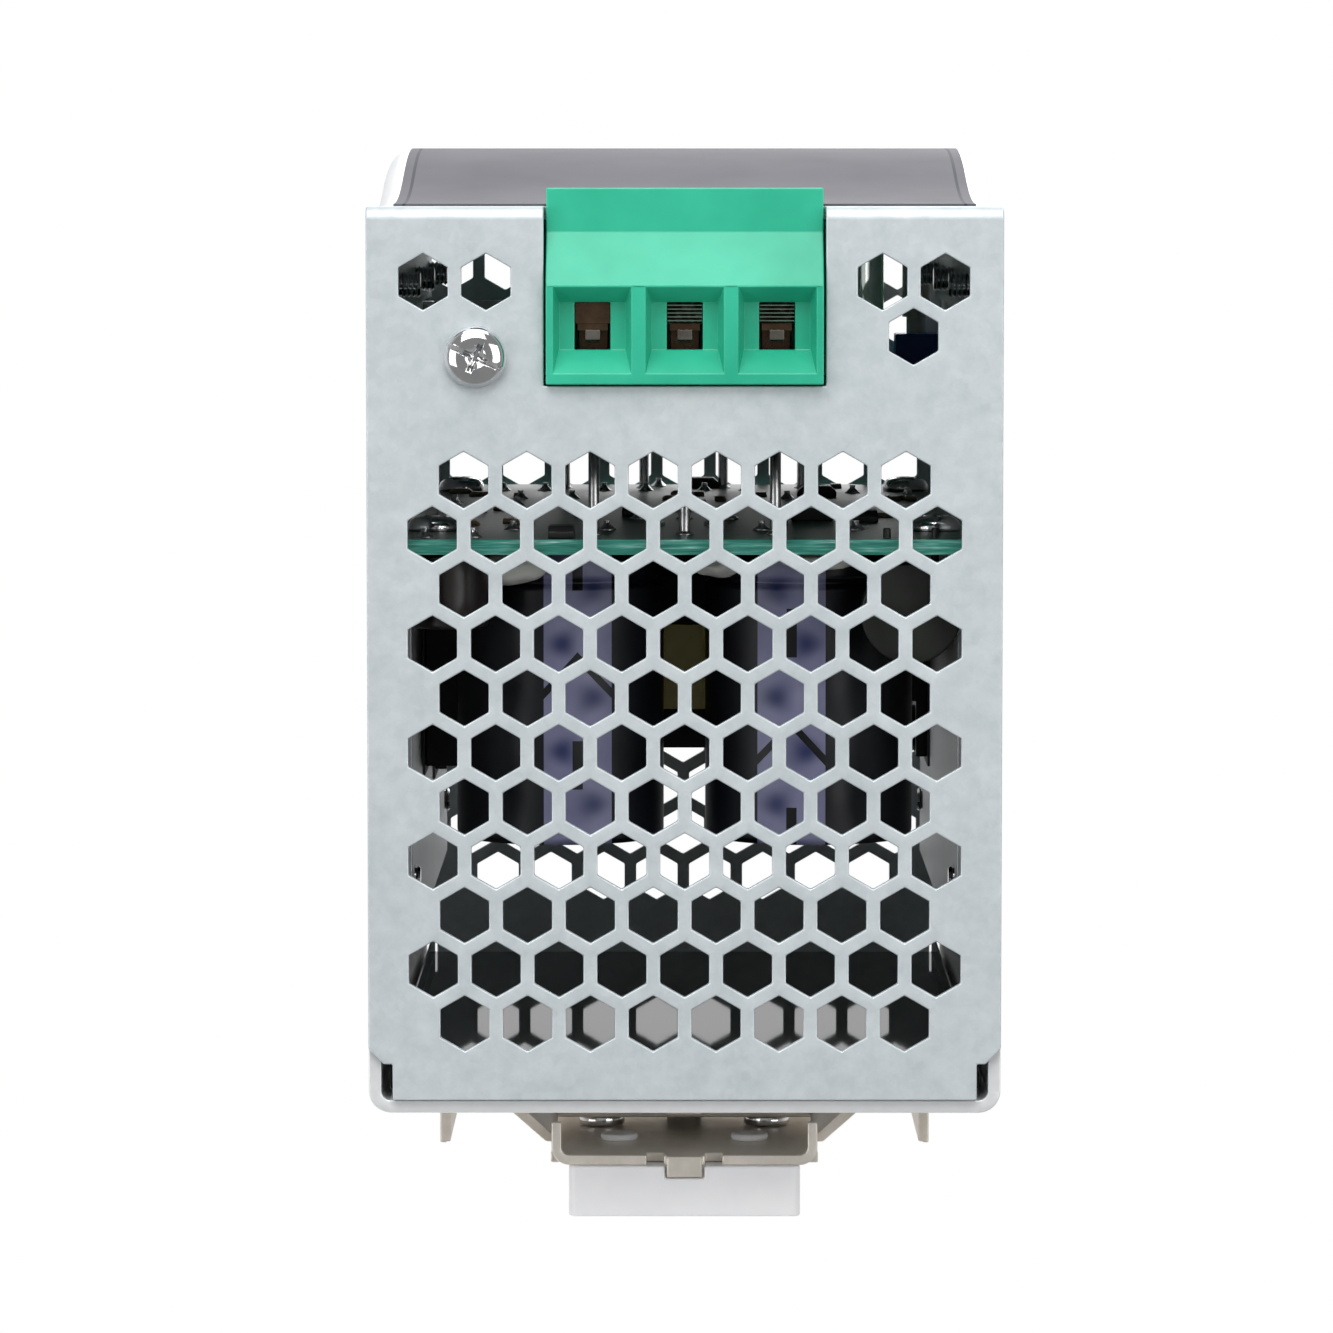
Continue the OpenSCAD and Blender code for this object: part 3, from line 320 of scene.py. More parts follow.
def powerDevice(legsTo=-56.5):
    # moulded epoxy body with tinned legs, which start where the body ends
    material, tree, where = startMaterial("powerDevice")
    down = addNode(tree, "SeparateXYZ", {"Vector": where}, "Y")
    legs = addNode(tree, "Math", {0: down, 1: legsTo * mm}, operation="LESS_THAN")
    grit = addNode(tree, "TexNoise", {"Vector": where, "Scale": 1600.0, "Detail": 2.0})
    body = addNode(tree, "ValToRGB", {"Fac": grit}, stops=[(0.3, "0f0f11"), (0.7, "1a1a1d")])
    colour = addNode(tree, "Mix", {0: legs, 6: body, 7: linearColour("c3c3c4")}, 2, data_type="RGBA")
    shine = addNode(tree, "MapRange", {"Value": grit, "To Min": 0.35, "To Max": 0.6})
    cover(tree, colour, shine, grit, 0.00004, 0.4, legs)
    return material


def clearPlastic():
    # clear polycarbonate rod: polished, with a faint haze
    material, tree, where = startMaterial("clearPlastic", IOR=1.58, Transmission_Weight=0.85)
    haze = addNode(tree, "TexNoise", {"Vector": where, "Scale": 300.0, "Detail": 3.0})
    colour = addNode(tree, "ValToRGB", {"Fac": haze}, stops=[(0.2, "dfeee6"), (0.8, "f4faf6")])
    cover(tree, colour, addNode(tree, "MapRange", {"Value": haze, "To Min": 0.08, "To Max": 0.22}))
    return material


def insulatingFilm():
    # black polyester insulating sheet: near-black and glossy enough to mirror what stands over it
    material, tree, where = startMaterial("insulatingFilm", Specular_IOR_Level=0.5)
    cloud = addNode(tree, "TexNoise", {"Vector": where, "Scale": 90.0, "Detail": 3.0})
    colour = addNode(tree, "ValToRGB", {"Fac": cloud}, stops=[(0.3, "050506"), (0.7, "0a0a0c")])
    shine = addNode(tree, "MapRange", {"Value": cloud, "To Min": 0.02, "To Max": 0.05})
    cover(tree, colour, shine, cloud, 0.00005, 0.05)
    return material


def paintedRidgeShading(pitch, start):
    # serrated clamp plate: painted highlight on the crests and painted shade, nearly black, in the grooves
    material, tree, where = startMaterial("paintedRidgeShading", Metallic=0.9)
    down = addNode(tree, "SeparateXYZ", {"Vector": where}, "Y")
    down = addNode(tree, "Math", {0: down, 1: -start * mm}, operation="ADD")
    wave = addNode(tree, "Math", {0: down, 1: pitch / 2 * mm}, operation="PINGPONG")
    # noise that makes the edges of the painted highlight and painted shade bands uneven
    ridgeJitter = addNode(tree, "TexNoise", {"Vector": where, "Scale": 1500.0, "Detail": 3.0})
    ridgeJitter = addNode(tree, "Math", {0: ridgeJitter, 1: 0.16 * mm}, operation="MULTIPLY")
    wave = addNode(tree, "Math", {0: wave, 1: ridgeJitter}, operation="ADD")
    wave = addNode(tree, "MapRange", {"Value": wave, "From Min": 0.12 * mm,
                                      "From Max": pitch / 2 * mm + 0.08 * mm})
    # ramp from painted shade in the grooves to painted highlight on the crests
    colour = addNode(tree, "ValToRGB", {"Fac": wave},
                     stops=[(0.25, "0d0a09"), (0.5, "a2958c"), (0.9, "f4eee8")])
    shine = addNode(tree, "MapRange", {"Value": wave, "To Min": 0.5, "To Max": 0.25})
    cover(tree, colour, shine)
    return material


finishes = {
    "case_aluminium": satinAluminium(colours=("d6d8da", "e8eaeb"), roughness=(0.3, 0.42), metallic=0.4),
    "galvanised_panel": galvanisedSheet(),
    "front_aluminium": satinAluminium("foldedAluminium", ("e6e8ec", "f4f5f8"), (900.0, 900.0, 30.0),
                                      (0.3, 0.42), 0.5),
    "front_film": printedFilm(),
    "screw_zinc": platedSteel("brightZinc", ("c4c5c7", "e4e4e5"), (0.05, 0.14)),
    "lug_steel": platedSteel("dullZinc", ("9fa3a5", "c2c6c8"), (0.35, 0.5)),
    "terminal_green": mouldedPlastic("greenPolyamide", ("1aa583", "2fb895"), (0.34, 0.48), 0.12, 0.8, 90.0),
    "terminal_screw": platedSteel("whiteZinc", ("a3a4a6", "d2d2d2"), (0.16, 0.32)),
    "clamp_steel": platedSteel("yellowedZinc", ("6c6761", "98938b"), (0.22, 0.4)),
    "contact_copper": platedSteel("tinnedCopper", ("463529", "7a6350"), (0.2, 0.38)),
    "circuit_board": circuitBoard(),
    "tinned_wire": platedSteel("tinnedWire", ("b4b4b6", "dadadb"), (0.15, 0.3)),
    "trimmer_blue": mouldedPlastic("bluePlastic", ("234a9c", "2c57b0"), (0.3, 0.42)),
    "trimmer_white": mouldedPlastic("ivoryPlastic", ("dedacb", "efece2"), (0.35, 0.5), 0.2),
    "led_green": mouldedPlastic("greenLens", ("5fae5c", "8fd98a"), (0.15, 0.25), 0.4, 1.0),
    "clear_pipe": clearPlastic(),
    "capacitor_sleeve": mouldedPlastic("plainSleeve", ("07080d", "0f121c"), (0.3, 0.42)),
    "ferrite": sinteredFerrite(),
    "bobbin_black": mouldedPlastic("blackPhenolic", ("0c0c0d", "161618"), (0.4, 0.6)),
    "winding_tape": polyesterTape(),
    "copper_wire": enamelledCopper(),
    "film_box": mouldedPlastic("greyBox", ("5c584a", "6e6a58"), (0.35, 0.5)),
    "fuse_case": mouldedPlastic("brownCap", ("120c0a", "1c1411"), (0.3, 0.45)),
    "thermistor_dark": mouldedPlastic("dippedResin", ("10130f", "1a1e17"), (0.3, 0.5)),
    "device_epoxy": powerDevice(),
    "pad_grey": mouldedPlastic("siliconePad", ("6d7074", "84878b"), (0.6, 0.8)),
    "heat_sink_aluminium": satinAluminium("millAluminium", ("a2a5a7", "c4c7c9"), (500.0, 24.0, 500.0),
                                          (0.34, 0.5), 0.75),
    "powder_core": mouldedPlastic("coatedPowder", ("8f7b14", "a8942a"), (0.4, 0.6)),
    "bracket_steel": platedSteel("nickelBracket", ("c9c0b3", "ece4d9"), (0.3, 0.46), 0.4),
    "latch_steel": platedSteel("nickelLatch", ("cfc7bb", "eee8de"), (0.28, 0.42), 0.4),
    "foot_white": mouldedPlastic("naturalPolyamide", ("f0f0f3", "f8f8fa"), (0.34, 0.46), 0.3, 2.0),
    "spring_steel": platedSteel("springWire", ("77777a", "a3a3a6"), (0.2, 0.35)),
}
for node, cad in frame["nodes"].items():
    cad.data.materials.clear()
    cad.data.materials.append(finishes[slotOf[node]])
print("materials made:", len(finishes))


# ---- making pieces ----

def deselectAll():
    if bpy.context.object and bpy.context.object.mode != "OBJECT":
        bpy.ops.object.mode_set(mode="OBJECT")
    bpy.ops.object.select_all(action="DESELECT")


def activate(piece):
    deselectAll()
    piece.select_set(True)
    bpy.context.view_layer.objects.active = piece


def applyModifier(piece, kind, **settings):
    activate(piece)
    modifier = piece.modifiers.new(kind.title(), kind)
    for name, value in settings.items():
        setattr(modifier, name, value)
    bpy.ops.object.modifier_apply(modifier=modifier.name)


def settle(piece):
    # leaves the piece's place in its mesh, with its object at the origin
    activate(piece)
    bpy.ops.object.transform_apply(location=True, rotation=True, scale=True)
    return piece


def smoothed(piece, angle=38):
    activate(piece)
    bpy.ops.object.shade_smooth_by_angle(angle=radians(angle))


def roundEdges(piece, width, segments=2, angle=38):
    applyModifier(piece, "BEVEL", width=width * mm, segments=segments, limit_method="ANGLE",
                  angle_limit=radians(angle), loop_slide=False, use_clamp_overlap=False)
    smoothed(piece, angle)
    applyModifier(piece, "WEIGHTED_NORMAL", keep_sharp=True)  # large faces stay flat to the light


def addBlock(low, high):
    deselectAll()
    low, high = Vector(low) * mm, Vector(high) * mm
    bpy.ops.mesh.primitive_cube_add(size=1, location=(low + high) / 2, scale=high - low)
    return settle(bpy.context.object)


def addRod(radius, start, end, sides=24):
    deselectAll()
    start, end = Vector(start) * mm, Vector(end) * mm
    along = end - start
    bpy.ops.mesh.primitive_cylinder_add(vertices=sides, radius=radius * mm, depth=along.length,
                                        location=(start + end) / 2,
                                        rotation=along.to_track_quat("Z", "Y").to_euler())
    return settle(bpy.context.object)


def pickFaces(piece, test):
    # opens the piece in edit mode with the faces picked by their middle in mm and their direction
    activate(piece)
    bpy.ops.object.mode_set(mode="EDIT")
    bpy.ops.mesh.select_mode(type="FACE")
    bpy.ops.mesh.select_all(action="DESELECT")
    bpy.ops.object.mode_set(mode="OBJECT")
    for face in piece.data.polygons:
        face.select = test(face.center / mm, face.normal)
    bpy.ops.object.mode_set(mode="EDIT")


def pullOut(x=0.0, y=0.0, z=0.0):
    bpy.ops.mesh.extrude_region_move(TRANSFORM_OT_translate={"value": (x * mm, y * mm, z * mm)})


def insetBy(width, rise=0.0):
    bpy.ops.mesh.inset(thickness=width * mm, depth=rise * mm)


def resizeBy(factor, centre):
    bpy.ops.transform.resize(value=factor, center_override=Vector(centre) * mm)


def cutWith(piece, cutter, crossed=False):
    applyModifier(piece, "BOOLEAN", operation="DIFFERENCE", solver="EXACT", use_self=crossed, object=cutter)
    bpy.data.objects.remove(cutter)


def twinOf(piece):
    twin = piece.copy()
    twin.data = piece.data.copy()
    bpy.context.scene.collection.objects.link(twin)
    return twin


def placed(piece, at, way=(0, 0, 1), spin=0.0):
    # a copy of a piece modelled along +Z, stood at a place and turned along a direction
    twin = twinOf(piece)
    turn = Vector(way).to_track_quat("Z", "Y").to_matrix().to_4x4() @ Matrix.Rotation(radians(spin), 4, "Z")
    twin.matrix_world = Matrix.Translation(Vector(at) * mm) @ turn
    return settle(twin)


def joined(pieces):
    deselectAll()
    for piece in pieces:
        piece.select_set(True)
    bpy.context.view_layer.objects.active = pieces[0]
    bpy.ops.object.join()
    return bpy.context.object


def discard(*pieces):
    for piece in pieces:
        bpy.data.objects.remove(piece)


def finishPiece(piece, name, slot, body="case", material=None, stands=()):
    # name, material (the slot's finish unless one is given), body and the CAD nodes that the piece stands for,
    # which are hidden
    piece.name = piece.data.name = name
    piece.data.materials.clear()
    piece.data.materials.append(material or finishes[slot])
    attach(piece, body)
    if stands:
        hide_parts(*stands)
    return piece


def pressedCopy(node, width, segments=2, angle=38):
    # the node's own shape with the small edge radius that its making leaves
    source = frame["nodes"][node]
    piece = twinOf(source)
    for key in list(piece.keys()):
        del piece[key]
    piece.parent = None
    piece.hide_render = piece.hide_viewport = False
    activate(piece)
    bpy.ops.object.mode_set(mode="EDIT")
    bpy.ops.mesh.select_all(action="SELECT")
    bpy.ops.mesh.remove_doubles(threshold=0.002 * mm)
    bpy.ops.mesh.beautify_fill(angle_limit=radians(0.3))
    bpy.ops.mesh.tris_convert_to_quads(face_threshold=radians(0.5), shape_threshold=radians(50))
    bpy.ops.object.mode_set(mode="OBJECT")
    roundEdges(piece, width, segments, angle)
    return finishPiece(piece, node + "_finished", slotOf[node], bodyOf[node], stands=[node])


# edge radius in mm that each piece's making leaves
edgeRadius = {
    "case_shell": 0.12, "bottom_panel": 0.16, "top_panel": 0.16, "front_cover": 0.1,
    "screw_lugs": 0.12, "input_terminal_housing": 0.12, "output_terminal_housing": 0.12,
    "input_contacts": 0.06, "output_contacts": 0.06, "input_board": 0.05, "output_board": 0.05,
    "main_board": 0.05, "transformer_core": 0.3, "transformer_bobbin": 0.12, "choke_core": 0.5,
    "bridge_rectifier": 0.2, "switching_transistor": 0.1, "output_rectifier": 0.1, "insulator_pads": 0.04,
    "heat_sink_left": 0.15, "heat_sink_right": 0.15, "din_bracket": 0.16, "latch_plate": 0.16,
    "latch_foot": 0.25, "trimmer_body": 0.2, "trimmer_rotor": 0.08, "light_pipe": 0.2,
    "bracket_rivets": 0.2, "filter_capacitor": 0.5, "fuse": 0.5, "inrush_thermistor": 0.15,
}
for side, count in (("input", 3), ("output", 4)):
    for number in range(1, count + 1):
        edgeRadius[f"{side}_clamp_{number}"] = 0.12
for node, radius in edgeRadius.items():
    pressedCopy(node, radius, angle=20 if "housing" in node else 38)  # a housing's slope has a crisp edge
print("edges rounded on", len(edgeRadius), "pieces")


# ---- screws ----

def threaded(piece, radius, length, pitch, sides=24):
    # the picked end is drawn out as a thread, crest and root in turn, to a short point
    crest, root = 1.0, 0.84
    for step in range(int(length / pitch)):
        for factor in (root / crest, crest / root):
            pullOut(z=-pitch / 2)
            resizeBy((factor, factor, 1), (0, 0, 0))
    pullOut(z=-pitch / 2)
    resizeBy((root, root, 1), (0, 0, 0))
    bpy.ops.object.mode_set(mode="OBJECT")


def crossCut(reach, width, top, depth, arms=(0, 90), taper=(0.62, 0.8, 1)):
    # a cutter for a cross recess whose walls close in a little towards its floor
    bars = []
    for turn in arms:
        bar = addBlock((-reach, -width / 2, top - depth), (reach, width / 2, top + 1))
        pickFaces(bar, lambda at, way: way.z < -0.9)
        resizeBy(taper, (0, 0, top - depth))
        bpy.ops.object.mode_set(mode="OBJECT")
        bar.rotation_euler = (0, 0, radians(turn))
        bars.append(settle(bar))
    return bars


def domedScrew(values):
    # pan head that stands on z = 0 with its recess upwards, and a threaded shank below
    radius, height = values["headRadius"], values["headHeight"]
    screw = addRod(radius, (0, 0, 0), (0, 0, height * 0.35), 40)
    pickFaces(screw, lambda at, way: way.z > 0.9)
    for width, rise in ((0.06, 0.25), (0.12, 0.19), (0.2, 0.13), (0.22, 0.06)):
        insetBy(radius * width, height * rise)
    bpy.ops.object.mode_set(mode="OBJECT")
    roundEdges(screw, radius * 0.03, 2, 35)
    cutWith(screw, joined(crossCut(radius * 0.6, radius * 0.21, height, height * 0.75)), True)
    if values.get("slot"):
        cutWith(screw, crossCut(radius * 0.9, radius * 0.17, height, height * 0.5, (0,), (1, 1, 1))[0])
    pickFaces(screw, lambda at, way: way.z < -0.9)
    insetBy(radius - values["shank"])
    threaded(screw, values["shank"], values["length"], values["pitch"])
    smoothed(screw, 35)
    return screw


def sunkScrew(values):
    # countersunk head flush with z = 0
    radius, shank = values["headRadius"], values["shank"]
    screw = addRod(radius, (0, 0, -0.15), (0, 0, 0), 40)
    pickFaces(screw, lambda at, way: way.z < -0.9)
    pullOut(z=shank - radius + 0.15)
    resizeBy((shank / radius, shank / radius, 1), (0, 0, 0))
    threaded(screw, shank, values["length"], values["pitch"])
    cutWith(screw, joined(crossCut(radius * 0.55, radius * 0.2, 0, 1.0)), True)
    smoothed(screw, 35)
    return screw


panelScrew = {"headRadius": 3.2, "headHeight": 1.9, "shank": 1.5, "length": 4.4, "pitch": 0.5, "slot": True}
smallScrew = {"headRadius": 2.7, "headHeight": 1.7, "shank": 1.45, "length": 3.4, "pitch": 0.5}
sideScrew = {"headRadius": 2.79, "shank": 1.4, "length": 3.0, "pitch": 0.5}
poleScrew = {"headRadius": 2.6, "headHeight": 2.6, "shank": 1.6, "length": 9.4, "pitch": 0.6, "slot": True}

caseX, lowEnd, screwY = 32.65, -62.6, -83.9
master = domedScrew(panelScrew)
panelScrews = [placed(master, (-21.5, screwY, lowEnd), (0, 0, -1), -24),
               placed(master, (-25.6, screwY, -lowEnd), (0, 0, 1), 35)]
finishPiece(joined(panelScrews), "panelScrewPair", "screw_zinc", stands=["panel_screws"])
discard(master)

master = sunkScrew(sideScrew)
sets = {"cover_screws": [(-91, -40), (-91, 0), (-91, 40)], "heat_sink_screws": [(-28, -44), (-28, 44)]}
for node, places in sets.items():
    row = [placed(master, (side * caseX, y, z), (side, 0, 0), 17 + 50 * side + z)
           for side in (-1, 1) for y, z in places]
    finishPiece(joined(row), node + "_threaded", "screw_zinc", stands=[node])
discard(master)

master = domedScrew(smallScrew)
row = [placed(master, (sx * 26.5, -65, sz * 44), (0, -1, 0), 30 + 21 * sx * sz)
       for sx in (-1, 1) for sz in (-1, 1)]
finishPiece(joined(row), "boardScrewSet", "screw_zinc", stands=["board_screws"])
row = [placed(master, (-27.05, -38, 12), (1, 0, 0), 12), placed(master, (27.05, -38, 28), (-1, 0, 0), 40)]
finishPiece(joined(row), "deviceScrewPair", "screw_zinc", stands=["device_screws"])
discard(master)

poleScrewMaster = domedScrew(poleScrew)
for side, count in (("input", 3), ("output", 4)):
    for number in range(1, count + 1):
        node = f"{side}_screw_{number}"
        low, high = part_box(node)
        at = ((low.x + high.x) / 2 / mm, -97.7, (low.z + high.z) / 2 / mm)
        screw = placed(poleScrewMaster, at, (0, -1, 0), 25 + 40 * number)
        finishPiece(screw, f"{side}PoleScrew{number}", "terminal_screw", node, stands=[node])
discard(poleScrewMaster)
print("screws made")


# ---- front film ----

def frontFilm():
    # the overlay on the curved front, with its own soft edge
    pressedCopy("front_label", 0.03, 1)


frontFilm()


# ---- terminals ----

grip = {"width": 3.6, "height": 2.2, "thick": 0.3, "ridges": 5, "depth": 0.22, "top": -89.45,
        "tabWidth": 1.5, "tabHeight": 1.0, "tabTop": -86.6}


def gripPlate(ridges):
    # wire plate that faces -Z, with every second band drawn out to a ridge where it is serrated
    half = grip["width"] / 2
    plate = addBlock((-half, 0, 0), (half, grip["height"], grip["thick"]))
    bands = ridges * 2 + 1
    for i in range(1, bands):
        pickFaces(plate, lambda at, way: True)
        bpy.ops.mesh.bisect(plane_co=(0, grip["height"] * mm * i / bands, 0), plane_no=(0, 1, 0))
    bpy.ops.object.mode_set(mode="OBJECT")
    band = grip["height"] / bands
    for i in range(1, bands, 2):
        middle = band * (i + 0.5)
        pickFaces(plate, lambda at, way: way.z < -0.9 and abs(at.y - middle) < band / 3)
        pullOut(z=-grip["depth"])
        resizeBy((1, 0.3, 1), (0, middle, 0))
        bpy.ops.object.mode_set(mode="OBJECT")
    roundEdges(plate, 0.02, 1, 30)
    return plate


def contactTab():
    # the bent end of the contact, narrower towards its tip
    half = grip["tabWidth"] / 2
    tab = addBlock((-half, 0, 0), (half, grip["tabHeight"], 0.3))
    pickFaces(tab, lambda at, way: way.y > 0.9)
    pullOut(y=0.3, z=0.5)
    resizeBy((0.8, 1, 1), (0, 0, 0))
    bpy.ops.object.mode_set(mode="OBJECT")
    roundEdges(tab, 0.05, 2, 30)
    return tab


ridged, plain, tab = gripPlate(grip["ridges"]), gripPlate(0), contactTab()
ridgeShading = paintedRidgeShading(grip["height"] / 5.5, grip["top"] + grip["height"] / 22)
rows = {"input": (-1, [0, 9.5], [-9.5]), "output": (1, [-14.25, -4.75, 4.75, 14.25], [])}
for side, (sign, serrated, smooth) in rows.items():
    leg = max(abs(corner.z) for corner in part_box(side + "_contacts")) / mm
    depth = leg + grip["thick"]
    sets = [("GripPlates", ridged, serrated, grip["top"], depth, ridgeShading),
            ("SmoothPlate", plain, smooth, grip["top"], depth, finishes["contact_copper"]),
            ("ContactTabs", tab, serrated + smooth, grip["tabTop"], leg + 0.4, finishes["clamp_steel"])]
    for word, model, places, y, z, material in sets:
        row = []
        for x in places:
            twin = twinOf(model)
            twin.rotation_euler = (0, 0 if sign < 0 else pi, 0)
            twin.location = Vector((x, y, sign * z)) * mm
            row.append(settle(twin))
        if row:
            finishPiece(joined(row), side + word, "clamp_steel", material=material)
discard(ridged, plain, tab)
print("terminals made")


# ---- boards ----

board = {"solderFace": -65.0, "padRadius": 0.95}


def solderJoint():
    # cone of solder round a clipped lead, along +Z
    joint = addRod(board["padRadius"], (0, 0, 0), (0, 0, 0.08), 12)
    pickFaces(joint, lambda at, way: way.z > 0.9)
    for factor, rise in ((0.78, 0.14), (0.7, 0.2), (0.66, 0.2)):
        pullOut(z=rise)
        resizeBy((factor, factor, 1), (0, 0, 0))
    pullOut(z=0.35)
    bpy.ops.object.mode_set(mode="OBJECT")
    smoothed(joint, 50)
    return joint


def chipPart(length, width, height):
    # a small part that lies on the board, its body between two soldered caps, along +Z
    part = addBlock((-length / 2, -width / 2, 0), (length / 2, width / 2, height))
    for sign in (-1, 1):
        pickFaces(part, lambda at, way: way.x * sign > 0.9)
        pullOut(x=sign * length * 0.22)
        resizeBy((1, 1.08, 0.5), (0, 0, 0))
        bpy.ops.object.mode_set(mode="OBJECT")
    roundEdges(part, height * 0.12, 2, 30)
    return part


solderRows = {"transformer pins": [(x, z) for x in (-10, -5, 0, 5, 10) for z in (-19.5, -4.5)],
              "capacitor pins": [(x + dx, -41.6) for x in (-13.2, 13.2) for dx in (-5, 5)],
              "filter pins": [(8, 12.2), (23, 12.2)], "fuse pins": [(-27, -55.8), (-22, -55.8)],
              "choke pins": [(-19, 9), (-19, 25), (-13, 9), (-13, 25)], "inductor pins": [(12, 24), (20, 38)],
              "output pins": [(x + dx, 44) for x in (-19, -7, 5) for dx in (-2.5, 2.5)],
              "bridge pins": [(-26.65, z) for z in (-18.5, -13.5, -8.5, -3.5)],
              "transistor pins": [(-26.25, z) for z in (9.46, 12, 14.54)],
              "rectifier pins": [(26.25, z) for z in (25.46, 28, 30.54)],
              "input post pins": [(x, -50.7) for x in (-9.5, 0, 9.5)],
              "output post pins": [(x, 50.7) for x in (-14.25, -4.75, 4.75, 14.25)],
              "link pins": [(x, z) for x in (-3, 3) for z in (-33, -29, 54, 57)]}
master = solderJoint()
joints = [placed(master, (x, board["solderFace"], z), (0, -1, 0), random.uniform(0, 30))
          for places in solderRows.values() for x, z in places]
finishPiece(joined(joints), "solderJoints", "tinned_wire", material=platedSteel(
    "meltedSolder", ("a9aaac", "d8d8d9"), (0.18, 0.42), 0.95, 900.0))  # bright, with a frosty skin
discard(master)

chip, widePart = chipPart(1.9, 1.25, 0.55), chipPart(3.2, 2.6, 1.3)
chips, wides = [], []
for i in range(46):
    x, z = random.uniform(-27, 27), random.uniform(-57, 57)
    nearPin = any(abs(x - px) < 2.6 and abs(z - pz) < 2.6 for rows in solderRows.values() for px, pz in rows)
    nearScrew = abs(abs(x) - 26.5) < 5 and abs(abs(z) - 44) < 5
    if nearPin or nearScrew:
        continue
    spin = random.choice((0, 90))
    (wides if i % 5 == 0 else chips).append(
        placed(widePart if i % 5 == 0 else chip, (x, board["solderFace"], z), (0, -1, 0), spin))
finishPiece(joined(chips), "chipParts", "device_epoxy", material=mouldedPlastic(
    "ceramicChip", ("6d5b48", "a08a6c"), (0.25, 0.4)))
finishPiece(joined(wides), "wideChipParts", "device_epoxy", material=mouldedPlastic(
    "chipEpoxy", ("161617", "232325"), (0.35, 0.5)))
discard(chip, widePart)
print("boards made")


# ---- capacitors ----

def canShape(radius, height):
    # rolled groove near the base, flat top with a raised rim, along +Z from z = 0
    can = addRod(radius * 0.93, (0, 0, 0), (0, 0, 0.5), 64)
    pickFaces(can, lambda at, way: way.z > 0.9)
    steps = ((1.075, 0.6), (1.0, radius * 0.16), (0.93, 0.6), (1.075, 0.6),
             (1.0, height - radius * 0.16 - 2.9), (0.955, 0.6))
    for factor, rise in steps:
        pullOut(z=rise)
        if factor != 1.0:
            resizeBy((factor, factor, 1), (0, 0, 0))
    insetBy(radius * 0.1)
    pullOut(z=-0.3)
    bpy.ops.object.mode_set(mode="OBJECT")
    roundEdges(can, 0.25, 3, 28)
    return can


def canTop(radius, height):
    # aluminium end inside the sleeve's rim, scored so that it can vent
    top = addRod(radius * 0.86, (0, 0, height - 0.5), (0, 0, height - 0.12), 48)
    cutWith(top, joined(crossCut(radius * 0.55, 0.5, height - 0.12, 0.2, (20, 110))), True)
    roundEdges(top, 0.05, 2, 30)
    return top


boardBack = -63.4
bulk = {"radius": 11.0, "height": 31.0, "x": 13.2, "z": -41.6, "highlightBand": 7.1, "highlightX": 11.2,
        "marks": {"left": -43.4, "right": -36.4}}
can, top = canShape(bulk["radius"], bulk["height"]), canTop(bulk["radius"], bulk["height"])
bareCan = platedSteel("bareCan", ("b6b8ba", "d4d6d8"), (0.28, 0.42), 0.9)
for side, word in ((-1, "left"), (1, "right")):
    at = (side * bulk["x"], boardBack, bulk["z"])
    sleeve = sleeveHighlightAndPrint(word + "Sleeve", side * bulk["highlightX"], bulk["z"], bulk["highlightBand"],
                           bulk["marks"][word])
    finishPiece(placed(can, at, (0, 1, 0)), word + "BulkCan", "capacitor_sleeve", material=sleeve,
                stands=[f"bulk_capacitor_{word}"])
    finishPiece(placed(top, at, (0, 1, 0)), word + "BulkCanTop", "screw_zinc", material=bareCan)
discard(can, top)


def glueBead(low, high, seed):
    # a blob of silicone that holds a can to the board, lumpy and rounded
    bead = addBlock(low, high)
    applyModifier(bead, "SUBSURF", levels=2, render_levels=2)
    pickFaces(bead, lambda at, way: True)
    bpy.ops.transform.vertex_random(offset=0.35 * mm, uniform=0.3, normal=0.5, seed=seed)
    bpy.ops.object.mode_set(mode="OBJECT")
    applyModifier(bead, "SUBSURF", levels=2, render_levels=2)
    smoothed(bead, 180)
    return bead


beadPlaces = [((-22.5, -63.6, -56.5), (-13.5, -59.6, -50.5)), ((0.4, -63.6, -55.5), (6.4, -60.2, -47.5)),
              ((9, -63.6, -56), (19, -61.2, -51.5))]
beads = [glueBead(low, high, i + 3) for i, (low, high) in enumerate(beadPlaces)]
finishPiece(joined(beads), "glueBeads", "trimmer_white", material=mouldedPlastic(
    "siliconeGlue", ("b8b8b0", "cfcfc8"), (0.25, 0.4), 0.2, 1.0))

small = {"radius": 5.0, "height": 20.0, "z": 44.0}
can, top = canShape(small["radius"], small["height"]), canTop(small["radius"], small["height"])
cans = [placed(can, (x, boardBack, small["z"]), (0, 1, 0)) for x in (-19, -7, 5)]
tops = [placed(top, (x, boardBack, small["z"]), (0, 1, 0)) for x in (-19, -7, 5)]
finishPiece(joined(cans), "outputCans", "capacitor_sleeve", stands=["output_capacitors"])
finishPiece(joined(tops), "outputCanTops", "screw_zinc", material=bareCan)
discard(can, top)
print("capacitors made")


# ---- wound parts ----

winding = {"low": (-11.4, -60.3, -20.3), "high": (11.4, -41.2, -3.7), "bulge": 2.6, "laps": (-17.6, -12.2, -6.8)}


def tapedWinding():
    # the transformer's winding: bulged sides under three laps of tape
    coil = addBlock(winding["low"], winding["high"])
    roundEdges(coil, winding["bulge"], 5, 60)
    pickFaces(coil, lambda at, way: abs(way.z) < 0.3)
    for z in winding["laps"]:
        bpy.ops.mesh.select_all(action="SELECT")
        bpy.ops.mesh.bisect(plane_co=(0, 0, z * mm), plane_no=(0, 0, 1))
    bpy.ops.object.mode_set(mode="OBJECT")
    return coil


